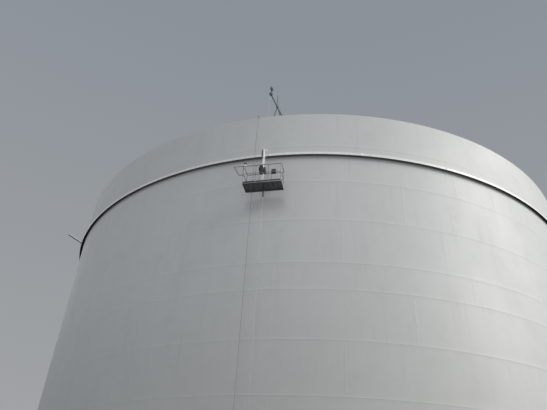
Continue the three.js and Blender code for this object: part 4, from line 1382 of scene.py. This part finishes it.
# Heights of the hoist and its neighbours are given from the cradle's floor.
onRope = cradle @ Matrix.Translation((cage["ropeX"], 0.0, 0.0))
hoist = {
    "away": 0.06,
    "middle": 1.075,
    "body": (0.118, 0.196, 0.23),
    "foot": (0.1, 0.17, 0.11),
    "footMiddle": 0.935,
    "head": (0.094, 0.14, 0.08),
    "headMiddle": 1.205,
    "rib": (0.106, 0.18, 0.006),
    "ribs": [0.895 + 0.018 * level for level in range(5)],
    "hole": 0.0065,
    "side": 0.0445,
    "screws": (8, 0.075, 0.0143),
}
motor = {
    "place": (-0.097, -0.1455, 0.0),
    "fins": 28,
    "fin": (0.018, 0.0035, 0.34),
    "finPlace": (0.086, 0.0, 0.998),
    "slots": (0.034, 0.051, 0.068),
    "slotWidth": 0.004,
    "slotHeights": (1.302, 1.3095),
}
lock = {
    "away": 0.0375,
    "half": 0.0365,
    "rows": (2.1, 2.17, 2.31, 2.38),
    "columns": (-0.03, 0.03),
    "screw": 0.012,
    "lever": [(-0.02, -0.03, 2.05), (-0.03, -0.043, 2.12), (-0.03, -0.043, 2.34)],
}
outlet = {"radius": 0.038, "ribs": 10, "low": -0.545, "pitch": 0.05}


def makeHoist():
    x, z, hole = right + hoist["away"], hoist["middle"], hoist["hole"]
    side = cradle @ standOn((x + hoist["side"], 0.0, z), (1.0, 0.0, 0.0))
    work = bmesh.new()
    addBlocks(work, cradle, [
        (hoist["body"], (x, 0.0, z), 0.024, 4),
        (hoist["foot"], (x, 0.0, hoist["footMiddle"]), 0.016, 3),
        (hoist["head"], (x, 0.0, hoist["headMiddle"]), 0.014, 3),
    ])
    addTurned(work, side, 48, [
        (0.0, 0.0), (0.09, 0.0), (0.09, 0.01), (0.084, 0.0145), (0.042, 0.0145), (0.038, 0.0148),
        (0.0, 0.0148),
    ])
    addBlocks(work, cradle, [(hoist["rib"], (x, 0.0, height), 0.0015) for height in hoist["ribs"]])
    for profile in (
        [(hole, 1.235), (0.022, 1.235), (0.022, 1.252), (0.018, 1.259), (hole, 1.259)],
        [(hole, 0.862), (0.02, 0.862), (0.024, 0.87), (0.024, 0.89), (hole, 0.89)],
    ):
        addTurned(work, onRope, 24, profile)
    finishMesh("rope_hoist_housing", work, "cradle", "housingPaint", "rope_hoist")
    return spotsAt(side, (0.0, 0.0, 1.0), circle(*hoist["screws"]))


def makeMotor():
    across, out, lift = motor["place"]
    place = cradle @ Matrix.Translation((right - tank["gap"] + across, out, lift))
    work = bmesh.new()
    addTurned(work, place, 48, [
        (0.0, 0.762), (0.074, 0.762), (0.084, 0.772), (0.084, 0.812), (0.08, 0.817), (0.08, 1.18),
        (0.092, 1.182), (0.096, 1.19), (0.096, 1.27), (0.088, 1.294), (0.066, 1.306), (0.0, 1.308),
    ])
    for number in range(motor["fins"]):
        turn = Matrix.Rotation(2 * math.pi * number / motor["fins"], 4, "Z")
        addBlock(work, place @ turn, motor["fin"], motor["finPlace"], 0.001, 1)
    addBlocks(work, place, [
        ((0.07, 0.13, 0.17), (-0.096, 0.0, 1.07), 0.01),
        ((0.12, 0.032, 0.07), (0.012, 0.0835, 0.83), 0.006),
        ((0.08, 0.03, 0.07), (0.012, 0.0845, 1.15), 0.006),
    ])
    for ring in motor["slots"]:
        addTurned(work, place, 36, tubeRing(ring, ring + motor["slotWidth"], *motor["slotHeights"]))
    finishMesh("hoist_motor_body", work, "cradle", "housingPaint", "hoist_motor")


def makeLock(spots):
    x = left - lock["away"]
    work = bmesh.new()
    addBlocks(work, cradle, [
        ((0.073, 0.088, 0.33), (x, 0.0, 2.24), 0.012, 3),
        ((0.06, 0.07, 0.18), (x, 0.0, 2.025), 0.01, 3),
        ((0.05, 0.06, 0.08), (x, 0.0, 2.44), 0.008),
    ])
    addPipe(work, cradle, [(x + across, out, z) for across, out, z in lock["lever"]], 0.006)
    finishMesh("overload_lock", work, "cradle", "housingPaint", "overload_box")
    screws = [(x - lock["half"], y, z) for z in lock["rows"] for y in lock["columns"]]
    spots += spotsAt(cradle, (-1.0, 0.0, 0.0), screws)
    addBolts("hoist_bolts", spots, lock["screw"], "cradle")


def makeOutlet():
    rim = outlet["radius"]
    work = bmesh.new()
    addTurned(work, onRope, 40, [
        (0.025, -0.619), (0.029, -0.6198), (0.04, -0.612), (0.043, -0.6), (0.04, -0.585), (0.0385, -0.57),
        (0.0385, -0.03), (0.0445, -0.026), (0.0445, -0.001), (0.025, -0.001),
    ])
    for level in range(outlet["ribs"]):
        low = outlet["low"] + outlet["pitch"] * level
        rib = [(rim, low), (0.0405, low + 0.003), (0.0405, low + 0.009), (rim, low + 0.012)]
        addTurned(work, onRope, 40, rib)
    finishMesh("rope_outlet_tube", work, "cradle", "housingPaint", "lower_rope_guide")
    print("tank: mast, hoist and motor built")


box = {"x": 0.59, "y": -0.2947, "width": 0.23, "depth": 0.15, "high": 0.24, "low": 0.6}


def makeControlBox():
    x, y, low, high, width = pick(box, "x y low high width")
    z = low + high / 2
    work = bmesh.new()
    addBlocks(work, cradle, [
        ((width - 0.004, box["depth"] - 0.03, high - 0.004), (x, y - 0.014, z), 0.01, 3),
        ((width, 0.02, high), (x, y + 0.052, z), 0.008, 3),
        ((0.012, 0.01, 0.034), (x + 0.098, y + 0.066, z)),
        ((0.03, 0.008, 0.2), (x - 0.07, y - 0.071, z), 0.002),
        ((0.03, 0.008, 0.2), (x + 0.07, y - 0.071, z), 0.002),
    ])
    for hinge in (z - 0.07, z + 0.07):
        ends = [(x - 0.113, y + 0.058, hinge + lift) for lift in (-0.018, 0.018)]
        addRod(work, cradle, *ends, 0.006, 12)
    for column in (-1, 0, 1):
        button = cradle @ standOn((x + 0.05 * column, y + 0.061, z + 0.03), (0.0, 1.0, 0.0))
        addTurned(work, button, 24, disc(0.017, 0.0, 0.004, 0.001))
        addTurned(work, button, 24, disc(0.0115, 0.003, 0.0125, 0.003))
        addTurned(work, cradle @ Matrix.Translation((x + 0.06 * column, y - 0.015, low)), 6, [
            (0.0, 0.0005), (0.01, 0.0005), (0.013, 0.004), (0.013, 0.014), (0.0, 0.014),
        ])
    finishMesh("control_cabinet", work, "cradle", "boxPlastic", "control_box")


endArm = {
    "side": -1.0153,
    "y": -0.389,
    "reach": 0.53,
    "knee": 0.2,
    "high": 1.17,
    "tipRise": 0.008,
    "low": 0.58,
    "tube": 0.028,
    "strut": 0.017,
    "bite": 0.004,
    "screws": (0.78, 0.9),
}

# Each half of the clamp: its size, how far in and how high it sits, the ease of its edges and its finish.
clamp = [((0.12, 0.064, 0.086), 0.076, 0.038, 0.008, 1), ((0.154, 0.07, 0.1), 0.082, 0.118, 0.01, 0)]


# The tube is pale with painted shade on its underside, and its strut and plate are bare metal.
def makeEndArm():
    side, y, high, low, bite = pick(endArm, "side y high low bite")
    tip = (side - endArm["reach"], y, high + endArm["tipRise"])
    work = bmesh.new()
    addRod(work, cradle, (side - bite, y, high), tip, endArm["tube"], 20)
    # Painted shade: the tube's downward faces get the dark finish.
    shadeBelow(work, 0.35)
    line = [tip, (side - endArm["knee"], y, low), (side - bite, y, low)]
    addPipe(work, cradle, line, endArm["strut"], 14, 0.05, finish=1)
    plate = (0.008, 0.054, high - low + 0.1)
    addBlock(work, cradle, plate, (side - 0.005, y, (high + low) / 2), 0.002, finish=1)
    finishMesh("end_arm", work, "cradle", "armPaint beamAlloy", "end_bracket")
    work = bmesh.new()
    for size, inward, lift, ease, finish in clamp:
        addBlock(work, cradle, size, (side + inward, y, high + lift), ease, finish=finish)
    finishMesh("end_arm_clamp", work, "cradle", "housingPaint armPaint")
    points = [(side - 0.0088, y, z) for z in (low - 0.025, high + 0.028, *endArm["screws"])]
    addBolts("end_arm_bolts", spotsAt(cradle, (-1.0, 0.0, 0.0), points), 0.013, "cradle")


makeCamera()
makeWorld()
makeLamps()
makeFloor()
makeFinishes()
shapes.update(bolt=boltShape(), weld=weldShape(), rope=ropeShape(), tread=treadShape())
print("tank: camera, light and finishes set")
makeCourses()
makeGirder()
makeCurb()
makeBottom()
makeRoof()
makeCrown()
makeHatch()
makeOpening("manhole")
makeOpening("nozzle")
makeSideArm()
makeDavit()
makeRopes()
makeCradleFloor()
makeGuards()
makeMast()
hoistScrews = makeHoist()
makeMotor()
makeLock(hoistScrews)
makeOutlet()
makeControlBox()
makeEndArm()
